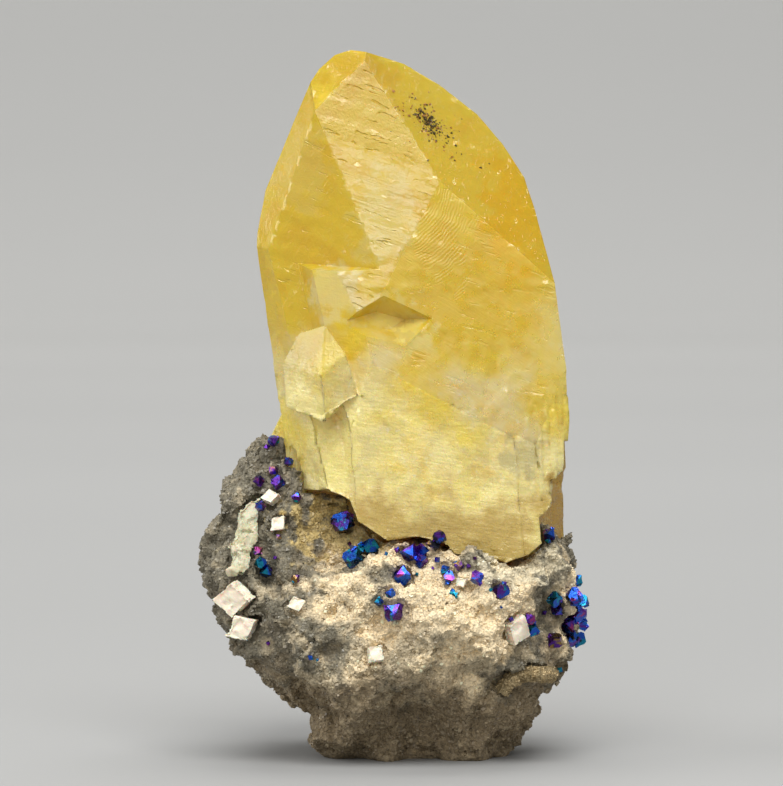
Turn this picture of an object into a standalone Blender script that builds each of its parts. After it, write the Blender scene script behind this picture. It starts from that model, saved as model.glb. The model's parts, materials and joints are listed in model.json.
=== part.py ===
"""A golden calcite crystal grown on a lump of grey dolostone.

Tarnished chalcopyrite crystals, pale dolomite rhombs, a pale calcite seam and a
curved marcasite crust sit on the rock. +Z is up, the front faces -Y, and the
rock's flat underside lies on Z = 0, below the middle of the specimen.
"""

import math
import random

import bmesh
import bpy
from mathutils import Matrix, Vector, noise
from mathutils.bvhtree import BVHTree

MM = 0.001
GAP = 0.3 * MM  # room left between neighbouring minerals
SEED = 7
CLEAR_STEP = 0.1 * MM  # a small crystal that would touch a larger one is moved aside in such steps
CLEAR_STEPS = 80

# Corners of the main crystal's front faces, in mm. The tip is the specimen's full height.
TIP = (-4.9, -0.6, 81.0)
RIDGE_TOP = (-3.3, -2.0, 79.7)
RIDGE_BEND = (5.3, -5.8, 66.1)
RIDGE_FOOT = (16.7, -6.5, 56.0)
STEP_FOOT = (-0.2, -8.6, 55.7)
LEFT_SHOULDER = (-8.9, -3.5, 74.1)
LEFT_FOLD = (-2.8, -7.6, 59.2)
LEFT_EDGE = (-13.2, -3.5, 61.4)
LEFT_RIM = (-15.2, -0.4, 62.3)
CRYSTAL_HEART = (2.0, 1.0, 48.0)
CRYSTAL_FRONT = -10.8
CRYSTAL_BACK = 11.5
SKIRT_BACK = -3.4

FRONT_FACES = {
    "upper_front": (RIDGE_TOP, RIDGE_BEND, STEP_FOOT),
    "right_front": (RIDGE_BEND, RIDGE_FOOT, STEP_FOOT),
    "right_slope": (RIDGE_TOP, RIDGE_BEND, RIDGE_FOOT),
    "left_front": (LEFT_SHOULDER, LEFT_FOLD, LEFT_EDGE),
    "top_left": (RIDGE_TOP, LEFT_SHOULDER, TIP),
    "left_bevel": (LEFT_SHOULDER, LEFT_EDGE, LEFT_RIM),
}

# Corners of the thicker layer that begins at a ledge on the left of the front.
LEDGE_MIDDLE = (-6.5, -8.45, 56.1)
LEDGE_LEFT = (-9.2, -7.6, 56.1)
LEDGE_END = (-10.7, -5.1, 55.8)
LAYER_RIGHT = (-4.5, -9.55, 52.1)
LAYER_FOOT = (-7.8, -8.8, 49.9)

# Corners of the low pyramid below that layer.
PYRAMID = (
    (-10.7, -7.3, 48.9), (-7.8, -9.8, 49.9), (-12.6, -6.4, 45.4), (-8.2, -11.7, 44.2),
    (-5.4, -11.3, 46.7), (-12.2, -7.0, 40.5), (-8.0, -11.3, 39.0), (-4.0, -10.9, 42.0),
)

# The four-sided pit: its rim as x and z, and the points of its floor, in mm.
PIT_RIM = ((-1.1, 53.3), (4.4, 50.7), (1.3, 47.6), (-7.4, 49.9))
PIT_FLOOR = ((-2.0, -7.6, 51.4), (1.2, -7.2, 50.5), (-0.4, -7.8, 49.4))

# The outline of the crystal from the tip down each side, as x and z in mm.
RIGHT_RIM = (
    (-4.9, 81.0), (-2.0, 80.4), (1.2, 79.4), (5.2, 77.0), (9.6, 73.6), (12.5, 70.2), (15.0, 66.4), (16.1, 63.0),
    (19.2, 48.1), (19.8, 41.0), (19.8, 33.0),
)
LEFT_RIM_LINE = ((-4.9, 81.0), (-6.7, 80.4), (-8.5, 78.8), (-14.7, 64.8), (-15.6, 60.0), (-13.1, 40.0))
RIM_LEAN = 28  # degrees by which the rim faces close in towards the back, at most
RIM_LEAN_STEP = 2
RIM_ALLOWANCE = 0.02 * MM  # how far a corner of the outline may be cut back

# The broken lower edge of the crystal, from left to right, as x and z in mm.
LOWER_EDGE = (
    (-13.4, 36.6), (-11.2, 35.4), (-10.2, 30.9), (-7.5, 31.2), (-5.0, 30.2), (-4.0, 27.8), (-0.7, 25.6),
    (2.9, 26.0), (5.8, 25.1), (6.8, 24.0), (9.8, 23.9), (12.7, 23.0), (15.3, 24.0), (16.8, 25.3),
    (16.5, 28.2), (18.0, 29.3), (17.9, 32.2), (19.1, 33.4), (19.2, 36.8),
)

# Outline of the rock from the left foot, clockwise as seen from the front, as x and z in mm.
ROCK_OUTLINE = (
    (-6.4, -1.0), (-8.0, 1.8), (-10.0, 5.4), (-13.2, 8.8), (-17.1, 11.5), (-18.1, 12.7), (-17.6, 14.1),
    (-20.1, 16.4), (-21.7, 19.5), (-22.7, 21.3), (-21.9, 25.2), (-20.2, 27.9), (-18.9, 31.1), (-17.4, 34.0),
    (-15.2, 36.0), (-11.0, 36.6), (-3.0, 34.0), (6.0, 30.0), (13.0, 27.0), (19.2, 24.6), (20.9, 22.2),
    (20.6, 17.0), (20.6, 13.0), (19.4, 9.6), (17.2, 6.6), (14.9, 3.6), (13.4, 1.4), (12.2, -1.0),
    (7.6, -1.0), (5.5, 1.5), (1.8, 0.9), (0.2, -1.0),
)
ROCK_MIDDLE = (0.0, 17.0)
ROCK_BOXINESS = 3.0
ROCK_FRONT_DEPTH = (
    (-2, 8.0), (3, 11.5), (8, 15.0), (12, 16.3), (17, 15.2), (22, 13.0), (25, 11.2), (28, 9.2), (32, 7.0), (38, 4.5),
)
ROCK_BACK_DEPTH = ((-2, 10.5), (5, 14.0), (12, 15.8), (20, 16.5), (26, 16.2), (31, 13.8), (38, 9.0))

# Hollows and swellings on the rock's back, then on its front: x, z, reach and height in mm.
BACK_RELIEF = {
    "back left corner": (-16.0, 21.0, 8.0, -3.5),
    "back right foot": (13.0, 7.0, 9.0, -3.0),
    "back swelling": (4.0, 17.0, 8.0, 1.6),
    "back brow": (9.0, 25.0, 7.0, 1.0),
}
FRONT_RELIEF = {
    "hollow under the crystal": (-6.4, 27.0, 7.0, -3.6),
    "cave": (-7.0, 24.6, 3.2, -2.2),
    "terrace": (7.0, 17.5, 11.0, 1.5),
    "terrace lip": (-3.5, 20.3, 4.0, 1.3),
    "left groove": (-15.2, 22.0, 3.4, -1.3),
    "groove above it": (-14.0, 28.0, 3.0, -1.2),
    "middle pit": (-1.4, 16.8, 2.0, -1.3),
    "low hollow": (2.0, 5.6, 8.0, -2.4),
    "low brow": (-3.0, 11.0, 6.0, 1.0),
    "right groove": (9.0, 9.4, 4.5, -1.2),
    "right lip": (15.0, 11.4, 4.0, 0.9),
}

# Chalcopyrite crystals on each part of the front: x, z and radius in mm.
CHALCOPYRITE_FRONT = {
    "shoulder": (
        (-13.6, 36.2, 0.62), (-11.9, 33.9, 0.48), (-13.6, 32.9, 0.50), (-15.4, 31.8, 0.58),
        (-13.3, 31.6, 0.66), (-11.0, 30.2, 0.50), (-15.2, 29.1, 0.55),
    ),
    "left_flank": (
        (-16.2, 24.2, 0.45), (-15.5, 22.9, 0.62), (-14.6, 21.9, 0.70), (-11.1, 21.2, 0.45),
    ),
    "hollow": ((-4.3, 27.3, 1.15), (-2.4, 25.7, 0.85), (-4.4, 23.3, 1.0), (-3.7, 24.4, 0.5)),
    "terrace": (
        (1.15, 21.8, 0.95), (-0.4, 20.0, 0.52), (-1.7, 19.1, 0.46), (0.2, 18.0, 0.98),
        (5.9, 22.5, 0.48), (6.7, 21.5, 0.62), (6.6, 20.2, 0.60), (8.4, 21.6, 0.72), (12.0, 20.1, 0.80),
        (13.9, 17.2, 0.55), (15.3, 16.7, 0.55), (15.6, 15.4, 0.66),
    ),
    "crystal_foot": (
        (1.8, 24.3, 0.95), (3.2, 25.1, 0.72), (4.6, 25.0, 0.55), (3.1, 23.4, 0.62), (5.2, 26.1, 0.72),
        (7.4, 22.9, 0.48),
    ),
    "right_edge": (
        (17.8, 25.6, 0.70), (21.0, 20.8, 0.72), (18.4, 18.6, 0.74), (18.7, 17.3, 0.66), (20.4, 18.8, 0.86),
        (21.4, 17.6, 0.72), (20.9, 16.5, 0.90), (21.9, 15.9, 0.78), (19.7, 15.1, 0.88), (21.6, 14.5, 0.66),
        (18.2, 13.9, 0.82), (20.3, 13.4, 0.80), (21.4, 12.6, 0.72),
    ),
}
# The same on the back, seen from behind.
CHALCOPYRITE_BACK = {
    "back": ((-14.0, 24.0, 0.8), (-6.0, 21.0, 0.7), (3.0, 23.0, 0.9), (12.0, 18.0, 0.8), (8.0, 12.0, 0.6)),
}

# Dolomite rhombs: x, z, edge, thickness in mm, and turn in degrees as seen from the front.
DOLOMITE_RHOMBS = {
    "dolomite_rhomb_large": (-17.9, 19.1, 3.0, 1.9, 38),
    "dolomite_rhomb_lower": (-17.0, 15.7, 2.5, 2.0, 12),
    "dolomite_rhomb_front": (-2.1, 13.2, 1.8, 1.7, -12),
    "dolomite_rhomb_right": (13.6, 15.7, 2.3, 1.8, -28),
    "dolomite_rhomb_flank": (-11.0, 18.7, 1.5, 1.0, 24),
    "dolomite_rhomb_shoulder": (-13.9, 30.0, 1.5, 1.2, 30),
    "dolomite_rhomb_ledge": (-13.1, 27.2, 1.5, 1.2, -10),
    "dolomite_rhomb_terrace": (7.7, 21.0, 1.1, 1.1, 8),
}
RHOMB_SHEAR = 0.18

# The pale seam on the left flank, as x and z in mm, and its thickness.
SEAM_OUTLINE = (
    (-17.7, 28.5), (-16.5, 29.7), (-15.2, 29.9), (-15.5, 27.4), (-15.6, 25.3), (-16.3, 24.2), (-16.2, 23.2),
    (-16.9, 21.5), (-18.0, 21.7), (-18.9, 22.2), (-18.4, 23.8), (-18.7, 25.0), (-17.8, 26.4),
)
SEAM_THICKNESS = 1.5

# The marcasite crust curves round the lower right of the front, as x and z in mm.
CRUST_LINE = ((12.3, 8.4), (13.1, 9.6), (14.6, 10.4), (16.4, 10.6), (18.0, 10.2))
CRUST_RADIUS = 0.95

CALCITE_GOLD = (0.78, 0.58, 0.10, 1.0)
ROCK_GREY = (0.27, 0.24, 0.19, 1.0)
CHALCOPYRITE_BLUE = (0.09, 0.08, 0.42, 1.0)
DOLOMITE_PALE = (0.82, 0.72, 0.66, 1.0)
SEAM_GREEN = (0.68, 0.68, 0.50, 1.0)
MARCASITE_BROWN = (0.36, 0.28, 0.12, 1.0)


def clear_scene():
    """Removes every object that the scene starts with."""
    for obj in list(bpy.data.objects):
        bpy.data.objects.remove(obj, do_unlink=True)


def new_collection(name):
    """A collection of the scene."""
    collection = bpy.data.collections.new(name)
    bpy.context.scene.collection.children.link(collection)
    return collection


def new_material(name, colour, roughness, metallic=0.0):
    """A plain Principled finish."""
    material = bpy.data.materials.new(name)
    material.use_nodes = True
    shader = material.node_tree.nodes["Principled BSDF"]
    shader.inputs["Base Color"].default_value = colour
    shader.inputs["Roughness"].default_value = roughness
    shader.inputs["Metallic"].default_value = metallic
    return material


def in_metres(point):
    """A point given in mm."""
    return Vector(point) * MM


def new_solid(name, bm, collection, material=None):
    """An object from a bmesh, which is used up."""
    mesh = bpy.data.meshes.new(name)
    bmesh.ops.recalc_face_normals(bm, faces=bm.faces)
    bm.to_mesh(mesh)
    bm.free()
    obj = bpy.data.objects.new(name, mesh)
    collection.objects.link(obj)
    if material is not None:
        mesh.materials.append(material)
    return obj


def apply_modifiers(obj):
    """Keeps what the modifiers make as the object's own mesh."""
    bpy.context.view_layer.update()
    graph = bpy.context.evaluated_depsgraph_get()
    old = obj.data
    obj.data = bpy.data.meshes.new_from_object(obj.evaluated_get(graph))
    obj.modifiers.clear()
    bpy.data.meshes.remove(old)


def combine(obj, operation, other):
    """A Boolean of two closed meshes, kept in the first. The other becomes a hidden helper."""
    modifier = obj.modifiers.new(operation.title(), "BOOLEAN")
    modifier.operation = operation
    modifier.object = other
    modifier.solver = "EXACT"
    apply_modifiers(obj)
    bpy.data.objects.remove(other, do_unlink=True)


def outward_move(vert, amount):
    """The move that takes a corner's faces outward by amount, each along its own normal."""
    pull, shares = Vector(), Matrix.Identity(3) * 1e-4
    for face in vert.link_faces:
        n = face.normal
        pull += n
        shares += Matrix([n * n.x, n * n.y, n * n.z])
    move = shares.inverted() @ pull * amount
    return move if move.length < 4 * amount else move.normalized() * 4 * amount


def stand_out(bm, amount):
    """Moves every face of a closed mesh outward by amount."""
    bmesh.ops.recalc_face_normals(bm, faces=bm.faces)
    moves = [outward_move(v, amount) for v in bm.verts]
    for vert, move in zip(bm.verts, moves):
        vert.co += move
    return bm


def grown(obj, amount, name, collection):
    """A copy whose every face stands out by amount, for cutting a socket that clears the original."""
    bm = bmesh.new()
    bm.from_mesh(obj.data)
    bm.transform(obj.matrix_world)
    return new_solid(name, stand_out(bm, amount), collection)


def face_through(a, b, c, inside):
    """The plane through three points in mm, as a point and a normal that points away from inside."""
    a, b, c = (in_metres(p) for p in (a, b, c))
    normal = (b - a).cross(c - a).normalized()
    if normal.dot(in_metres(inside) - a) > 0:
        normal.negate()
    return a, normal


def depth_on(plane, x, z):
    """The point in mm where the plane crosses the line of sight at x and z in mm."""
    point, normal = plane
    reach = normal.x * (point.x - x * MM) + normal.z * (point.z - z * MM)
    return (x, (point.y + reach / normal.y) / MM, z)


def cleave(bm, plane):
    """Cuts away what lies beyond the plane and closes the cut with one flat face."""
    point, normal = plane
    everything = bm.verts[:] + bm.edges[:] + bm.faces[:]
    cut = bmesh.ops.bisect_plane(bm, geom=everything, plane_co=point, plane_no=normal, dist=1e-7, clear_outer=True)
    edges = [e for e in cut["geom_cut"] if isinstance(e, bmesh.types.BMEdge)]
    if edges:
        bmesh.ops.contextual_create(bm, geom=edges)


def cleaved_block(planes, centre, size, margin=0.0):
    """A convex crystal: a cube cut by each plane in turn, with every face moved out by a margin."""
    bm = bmesh.new()
    bmesh.ops.create_cube(bm, size=size * MM)
    bmesh.ops.translate(bm, vec=in_metres(centre), verts=bm.verts)
    for point, normal in planes:
        cleave(bm, (point + normal * margin, normal))
    bmesh.ops.dissolve_degenerate(bm, dist=1e-6, edges=bm.edges)
    return bm


def leaning(point, azimuth, elevation):
    """A plane through a point in mm. Azimuth 0 faces the front and 90 the right; elevation is upward."""
    turn, rise = math.radians(azimuth), math.radians(elevation)
    normal = Vector((math.sin(turn) * math.cos(rise), -math.cos(turn) * math.cos(rise), math.sin(rise)))
    return in_metres(point), normal


def rim_faces(line, fronts, inside):
    """Faces that start where an outline meets the front faces, and close in towards the back.

    Each closes in as much as it can without cutting off another corner of the outline.
    """
    corners = [max((depth_on(face, x, z) for face in fronts), key=lambda point: point[1]) for x, z in line]
    planes = []
    for start, end in zip(corners, corners[1:]):
        along = Vector((end[0] - start[0], 0, end[2] - start[2])).normalized()
        outward = Vector((along.z, 0, -along.x))
        if outward.dot(Vector(inside) - Vector(start)) > 0:
            outward.negate()
        for lean in range(RIM_LEAN, -RIM_LEAN, -RIM_LEAN_STEP):
            back = Vector((0, 1, 0)) - outward * math.tan(math.radians(lean))
            point, normal = face_through(start, end, Vector(start) + back * 10, inside)
            if all((in_metres(c) - point).dot(normal) < RIM_ALLOWANCE for c in corners):
                break
        planes.append((point, normal))
    return planes


def main_crystal(margin):
    """The tall crystal with its front faces, rims and back."""
    fronts = [face_through(*corners, CRYSTAL_HEART) for corners in FRONT_FACES.values()]
    fronts += [
        leaning((0, CRYSTAL_FRONT, 44), 1, 0.5),
        leaning((-12.4, -5.0, 50), -56, -5),
        leaning((18.6, -8.6, 50), 26, 3),
    ]
    planes = fronts + rim_faces(RIGHT_RIM, fronts, CRYSTAL_HEART) + rim_faces(LEFT_RIM_LINE, fronts, CRYSTAL_HEART)
    planes += [
        leaning((9, CRYSTAL_BACK - 2, 45), 152, 12),
        leaning((-6, CRYSTAL_BACK - 1, 45), 198, 9),
        leaning((2, CRYSTAL_BACK, 40), 176, 2),
        leaning((0, 8.6, 68), 170, 34),
        leaning((0, 0, 21), 0, -90),
    ]
    return cleaved_block(planes, CRYSTAL_HEART, 120, margin)


def front_growth(margin):
    """The thicker lower layer, with a ledge where it begins on the left."""
    inside = (0, -4, 45)
    planes = [
        face_through(*FRONT_FACES["upper_front"], inside),
        face_through(*FRONT_FACES["right_front"], inside),
        face_through(LEDGE_MIDDLE, LAYER_RIGHT, LEDGE_LEFT, inside),
        face_through(LEDGE_LEFT, LAYER_FOOT, LEDGE_END, inside),
        leaning((0, CRYSTAL_FRONT - 0.1, 44), 1, 0.5),
        leaning(LEDGE_LEFT, -10, 74),
        leaning((-12.4, -7.2, 45), -62, -4),
        leaning((13.0, -10.9, 45), 58, 4),
        leaning((10.0, -7.0, 45), 150, 0),
        leaning((0, -1, 40), 180, 0),
        leaning((0, 0, 21.2), 0, -90),
    ]
    return cleaved_block(planes, (2, -5, 42), 70, margin)


def left_growth(margin):
    """A low pyramid on the lower left of the front."""
    bm = bmesh.new()
    for x, y, z in PYRAMID:
        bm.verts.new(in_metres((x, y, z)))
        bm.verts.new(in_metres((x, -3.0, z)))
    return stand_out(hull(bm), margin)


def rear_growth(margin):
    """The shorter crystal grown against the back of the main one, with its own blunt tip."""
    planes = [
        leaning((19.8, 6, 30), 90, 1.5),
        leaning((18.4, 1.6, 30), 62, 1),
        leaning((17.0, 11.2, 30), 136, 7),
        leaning((3.0, 13.6, 30), 171, 6),
        leaning((-6.0, 13.0, 30), 203, 8),
        leaning((-12.0, 9.5, 30), 238, 8),
        leaning((-13.6, 5.0, 37.5), 270, 26),
        leaning((-14.4, 5.0, 30), 268, 2),
        leaning((-11.5, -1.6, 33.0), 308, 4),
        leaning((3.0, 9.0, 46.5), 160, 52),
        leaning((-4.0, 9.5, 43.0), 214, 40),
        leaning((12.0, 8.0, 44.0), 112, 46),
        leaning((0, 0, 20.6), 0, -90),
        leaning((3, -4.0, 30), 0, 0),
    ]
    return cleaved_block(planes, (3, 6, 33), 60, margin)


def hull(bm):
    """Wraps the points in one convex solid with flat faces."""
    wrapped = bmesh.ops.convex_hull(bm, input=bm.verts)
    spare = [v for v in wrapped["geom_interior"] if isinstance(v, bmesh.types.BMVert)]
    bmesh.ops.delete(bm, geom=spare, context="VERTS")
    bmesh.ops.dissolve_limit(bm, angle_limit=math.radians(1), verts=bm.verts, edges=bm.edges)
    return bm


def pit():
    """The four-sided pit in the middle of the front."""
    bm = bmesh.new()
    for x, z in PIT_RIM:
        surface = face_through(*FRONT_FACES["right_front"], CRYSTAL_HEART)
        depth = depth_on(surface, x, z)[1]
        bm.verts.new(in_metres((x, depth, z)))
        bm.verts.new(in_metres((x, depth - 5, z)))
    for corner in PIT_FLOOR:
        bm.verts.new(in_metres(corner))
    return hull(bm)


def prism(outline, front, back):
    """A flat outline in x and z, run from front to back, all in mm."""
    bm = bmesh.new()
    face = bm.faces.new([bm.verts.new(in_metres((x, front, z))) for x, z in outline])
    sides = bmesh.ops.extrude_face_region(bm, geom=[face])
    moved = [v for v in sides["geom"] if isinstance(v, bmesh.types.BMVert)]
    bmesh.ops.translate(bm, vec=Vector((0, (back - front) * MM, 0)), verts=moved)
    return bm


def below_lower_edge(margin):
    """What is missing below the broken lower edge, through the front layer only."""
    drop = 2 * margin / MM
    edge = [(x + math.copysign(drop / 2, x), z - drop) for x, z in LOWER_EDGE]
    outline = [(-30, edge[0][1]), *edge, (30, edge[-1][1]), (30, 5), (-30, 5)]
    return prism(outline, -30, SKIRT_BACK - margin / MM)


def calcite_crystal(name, collection, material=None, margin=0.0):
    """The main crystal with everything grown onto it, as one solid, standing out by a margin."""
    crystal = new_solid(name, main_crystal(margin), collection, material)
    for grown_on in (front_growth, left_growth):
        combine(crystal, "UNION", new_solid("growth", grown_on(margin), collection))
    combine(crystal, "DIFFERENCE", new_solid("lower_edge", below_lower_edge(margin), collection))
    combine(crystal, "UNION", new_solid("growth", rear_growth(margin), collection))
    if not margin:
        combine(crystal, "DIFFERENCE", new_solid("pit", pit(), collection))
    return crystal


def between(table, value):
    """Reads a table of (position, amount) at value, along straight lines."""
    if value <= table[0][0]:
        return table[0][1]
    for (a, low), (b, high) in zip(table, table[1:]):
        if value <= b:
            return low + (high - low) * (value - a) / (b - a)
    return table[-1][1]


def outline_reach(angle):
    """Distance in mm from the rock's middle to its outline at an angle in the front view."""
    cx, cz = ROCK_MIDDLE
    ray = Vector((math.cos(angle), math.sin(angle)))
    corners = [Vector((x - cx, z - cz)) for x, z in ROCK_OUTLINE]
    best = 0.0
    for a, b in zip(corners, corners[1:] + corners[:1]):
        edge = b - a
        cross = ray.x * edge.y - ray.y * edge.x
        if abs(cross) < 1e-9:
            continue
        reach = (a.x * edge.y - a.y * edge.x) / cross
        along = (a.x * ray.y - a.y * ray.x) / cross
        if reach > 0 and -1e-6 <= along <= 1 + 1e-6:
            best = max(best, reach)
    return best


def rock_point(direction):
    """The rock's surface in mm, in a direction from its middle: a boxy ball stretched to the outline."""
    across = math.hypot(direction.x, direction.z)
    angle = math.atan2(direction.z, direction.x)
    power = ROCK_BOXINESS
    scale = (across**power + abs(direction.y) ** power) ** (-1 / power)
    reach = outline_reach(angle) * across * scale
    x = ROCK_MIDDLE[0] + reach * math.cos(angle)
    z = ROCK_MIDDLE[1] + reach * math.sin(angle)
    table = ROCK_FRONT_DEPTH if direction.y < 0 else ROCK_BACK_DEPTH
    depth = between(table, z) * abs(direction.y) * scale
    return Vector((x, math.copysign(depth, direction.y), z))


def relief_at(point):
    """Height in mm of the named hollows and swellings at a point in mm."""
    height = 0.0
    relief = FRONT_RELIEF if point.y < 0 else BACK_RELIEF
    for x, z, reach, amount in relief.values():
        share = math.hypot(point.x - x, point.z - z) / reach
        if share < 1:
            height += amount * (1 - share * share) ** 2
    return height


def chipped(point, size, step, tilt):
    """Height in mm of flat chips of a given size: each has its own level and its own slope."""
    _, seeds = noise.voronoi(point / size)
    seed = seeds[0]
    slope = noise.cell_vector(seed * 7.31 + Vector((0.5, 0.5, 0.5))) - Vector((0.5, 0.5, 0.5))
    level = noise.cell(seed * 5.17 + Vector((0.3, 0.3, 0.3)))
    return step * level + tilt * slope.dot(point - seed * size)


def broken_surface(point):
    """Height in mm of the rock's lumps and chipped facets at a point in mm."""
    lumps = noise.fractal(point / 9 + Vector((3.1, 0.7, 1.9)), 0.9, 2.1, 2)
    grain = noise.noise(point / 1.6)
    return 0.9 * lumps + chipped(point, 7.0, 0.9, 0.5) + chipped(point, 2.8, 0.35, 0.35) + 0.2 * grain


def behind_notch(point):
    """How far in mm the gap between the feet is filled at the back, at a point in mm."""
    along = min(max((point.y + 11) / 6, 0), 1)
    across = min(max((6.5 - abs(point.x - 3.5)) / 2.5, 0), 1)
    low = min(max((4 - point.z) / 3, 0), 1)
    return 3.5 * along * across * low


def dolostone_matrix(collection, material):
    """The lump of rock, cut flat where it rests."""
    bpy.ops.mesh.primitive_ico_sphere_add(subdivisions=5, radius=1.0)
    rock = bpy.context.object
    rock.name = rock.data.name = "dolostone_matrix"
    for linked in list(rock.users_collection):
        linked.objects.unlink(rock)
    collection.objects.link(rock)
    rock.data.materials.append(material)
    bm = bmesh.new()
    bm.from_mesh(rock.data)
    for vert in bm.verts:
        vert.co = rock_point(vert.co.normalized())
        vert.co.z -= behind_notch(vert.co)
    bm.normal_update()
    heights = [relief_at(v.co) + broken_surface(v.co) for v in bm.verts]
    for vert, height in zip(bm.verts, heights):
        vert.co = (vert.co + vert.normal * height) * MM
    cleave(bm, (Vector((0, 0, 0)), Vector((0, 0, -1))))
    bmesh.ops.triangulate(bm, faces=bm.faces)
    bm.to_mesh(rock.data)
    bm.free()
    return rock


def surface_of(obj):
    """A tree for asking where a mesh's surface is."""
    bm = bmesh.new()
    bm.from_mesh(obj.data)
    bm.transform(obj.matrix_world)
    tree = BVHTree.FromBMesh(bm)
    bm.free()
    return tree


def seen_at(trees, x, z, from_back=False):
    """The point and normal that the front view, or the back view, shows at x and z in mm."""
    side = 1 if from_back else -1
    for inward in (0, 0.6, 1.2, 1.8, 2.4, 3.0):
        start = Vector((x - math.copysign(inward, x) * 0.7, side * 100, z - inward * 0.7)) * MM
        hits = [tree.ray_cast(start, Vector((0, -side, 0))) for tree in trees]
        hits = [hit for hit in hits if hit[0] is not None]
        if hits:
            place, normal, _, _ = min(hits, key=lambda hit: hit[3])
            return place, normal
    raise ValueError(f"nothing is seen at {x}, {z}")


def sphenoid(radius, turn, centre, margin=0.0):
    """A chalcopyrite crystal: an octahedron whose alternate faces grew unequally."""
    bm = bmesh.new()
    bmesh.ops.create_cube(bm, size=3 * radius)
    for sx in (-1, 1):
        for sy in (-1, 1):
            for sz in (-1, 1):
                reach = 0.72 if sx * sy * sz > 0 else 0.98
                normal = Vector((sx, sy, sz * 0.95)).normalized()
                cleave(bm, (normal * (reach * radius + margin), normal))
    bm.transform(turn.to_4x4())
    bmesh.ops.translate(bm, vec=centre, verts=bm.verts)
    return bm


def random_turn(dice):
    """A rotation with no preferred direction."""
    axis = Vector((dice.gauss(0, 1), dice.gauss(0, 1), dice.gauss(0, 1))).normalized()
    return Matrix.Rotation(dice.uniform(0, math.tau), 3, axis)


def grow_crystals(zone, spots, trees, keep_clear, dice, collection, material, from_back=False):
    """The chalcopyrite of one zone, and its sockets. Crystals that meet are joined in one solid."""
    joined, sockets = [], []
    for x, z, radius in spots:
        place, normal = seen_at(trees, x, z, from_back)
        centre = place + normal * (0.35 * radius * MM)
        turn = random_turn(dice)
        crystal = new_solid("chalcopyrite", sphenoid(radius * MM, turn, centre), collection, material)
        side = 1 if from_back else -1
        touches = not is_clear(crystal, Vector(), keep_clear)
        shift = step_clear(crystal, keep_clear, side) if touches else Vector()
        sockets.append(new_solid("socket", sphenoid(radius * MM, turn, centre + shift, GAP), collection))
        near = [g for g in joined if surface_of(g).overlap(surface_of(crystal))]
        for other in near:
            joined.remove(other)
            combine(crystal, "UNION", other)
        joined.append(crystal)
    for number, crystal in enumerate(joined, 1):
        crystal.name = f"chalcopyrite_{zone}_{number}"
    return sockets


def is_clear(obj, shift, keep_clear):
    """Whether a small crystal, once moved, neither touches nor lies inside the trees it must not touch."""
    bm = bmesh.new()
    bm.from_mesh(obj.data)
    bmesh.ops.translate(bm, vec=shift, verts=bm.verts)
    centre = sum((v.co for v in bm.verts), Vector()) / len(bm.verts)
    tree = BVHTree.FromBMesh(bm)
    bm.free()
    return not any(tree.overlap(other) or is_inside(other, centre) for other in keep_clear)


def step_clear(obj, keep_clear, side):
    """Moves a small crystal aside by the shortest of a few moves that clears the trees. Returns the move."""
    out = Vector((0, side, 0))
    ways = [Vector(), Vector((0, 0, -1)), Vector((-1, 0, 0)), Vector((1, 0, 0))]
    for reach in range(1, CLEAR_STEPS):
        for way in ways:
            for move in (way + 0.5 * out, way + out, way):
                shift = move * reach * CLEAR_STEP
                if move.length > 0 and is_clear(obj, shift, keep_clear):
                    obj.data.transform(Matrix.Translation(shift))
                    return shift
    raise ValueError(f"no room for {obj.name}")


def is_inside(tree, point):
    """Whether a point lies inside a closed mesh: a line upward then leaves it an odd number of times."""
    crossings, start = 0, point.copy()
    while True:
        place, _, _, _ = tree.ray_cast(start, Vector((0, 0, 1)))
        if place is None:
            return crossings % 2 == 1
        crossings += 1
        start = place + Vector((0, 0, 1e-6))


def rhomb(edge, thickness, place, normal, turn):
    """A sheared block that lies on the surface, standing half out of it."""
    bm = bmesh.new()
    bmesh.ops.create_cube(bm, size=1.0)
    bmesh.ops.scale(bm, vec=Vector((edge, thickness, edge)) * MM, verts=bm.verts)
    shear = Matrix(((1, 0, RHOMB_SHEAR, 0), (0, 1, 0.08, 0), (0, 0, 1, 0), (0, 0, 0, 1)))
    facing = (normal * 0.6 + Vector((0, -1, 0)) * 0.4).normalized()
    aim = Vector((0, -1, 0)).rotation_difference(facing).to_matrix().to_4x4()
    spin = Matrix.Rotation(math.radians(turn), 4, "Y")
    bm.transform(Matrix.Translation(place + normal * 0.12 * thickness * MM) @ aim @ spin @ shear)
    return bm


def pale_seam(tree, collection, material):
    """The flat vein of pale calcite exposed on the left flank."""
    corners = [seen_at([tree], x, z)[0] for x, z in (SEAM_OUTLINE[0], SEAM_OUTLINE[4], SEAM_OUTLINE[8])]
    normal = (corners[1] - corners[0]).cross(corners[2] - corners[0]).normalized()
    if normal.y > 0:
        normal.negate()
    middle = sum(corners, Vector()) / 3
    bm = bmesh.new()
    verts = []
    for x, z in SEAM_OUTLINE:
        reach = normal.x * (middle.x - x * MM) + normal.z * (middle.z - z * MM)
        verts.append(bm.verts.new(Vector((x * MM, middle.y + reach / normal.y, z * MM)) - normal * 0.9 * MM))
    sides = bmesh.ops.extrude_face_region(bm, geom=[bm.faces.new(verts)])
    moved = [v for v in sides["geom"] if isinstance(v, bmesh.types.BMVert)]
    bmesh.ops.translate(bm, vec=normal * SEAM_THICKNESS * MM, verts=moved)
    return new_solid("pale_calcite_seam", bm, collection, material)


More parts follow.
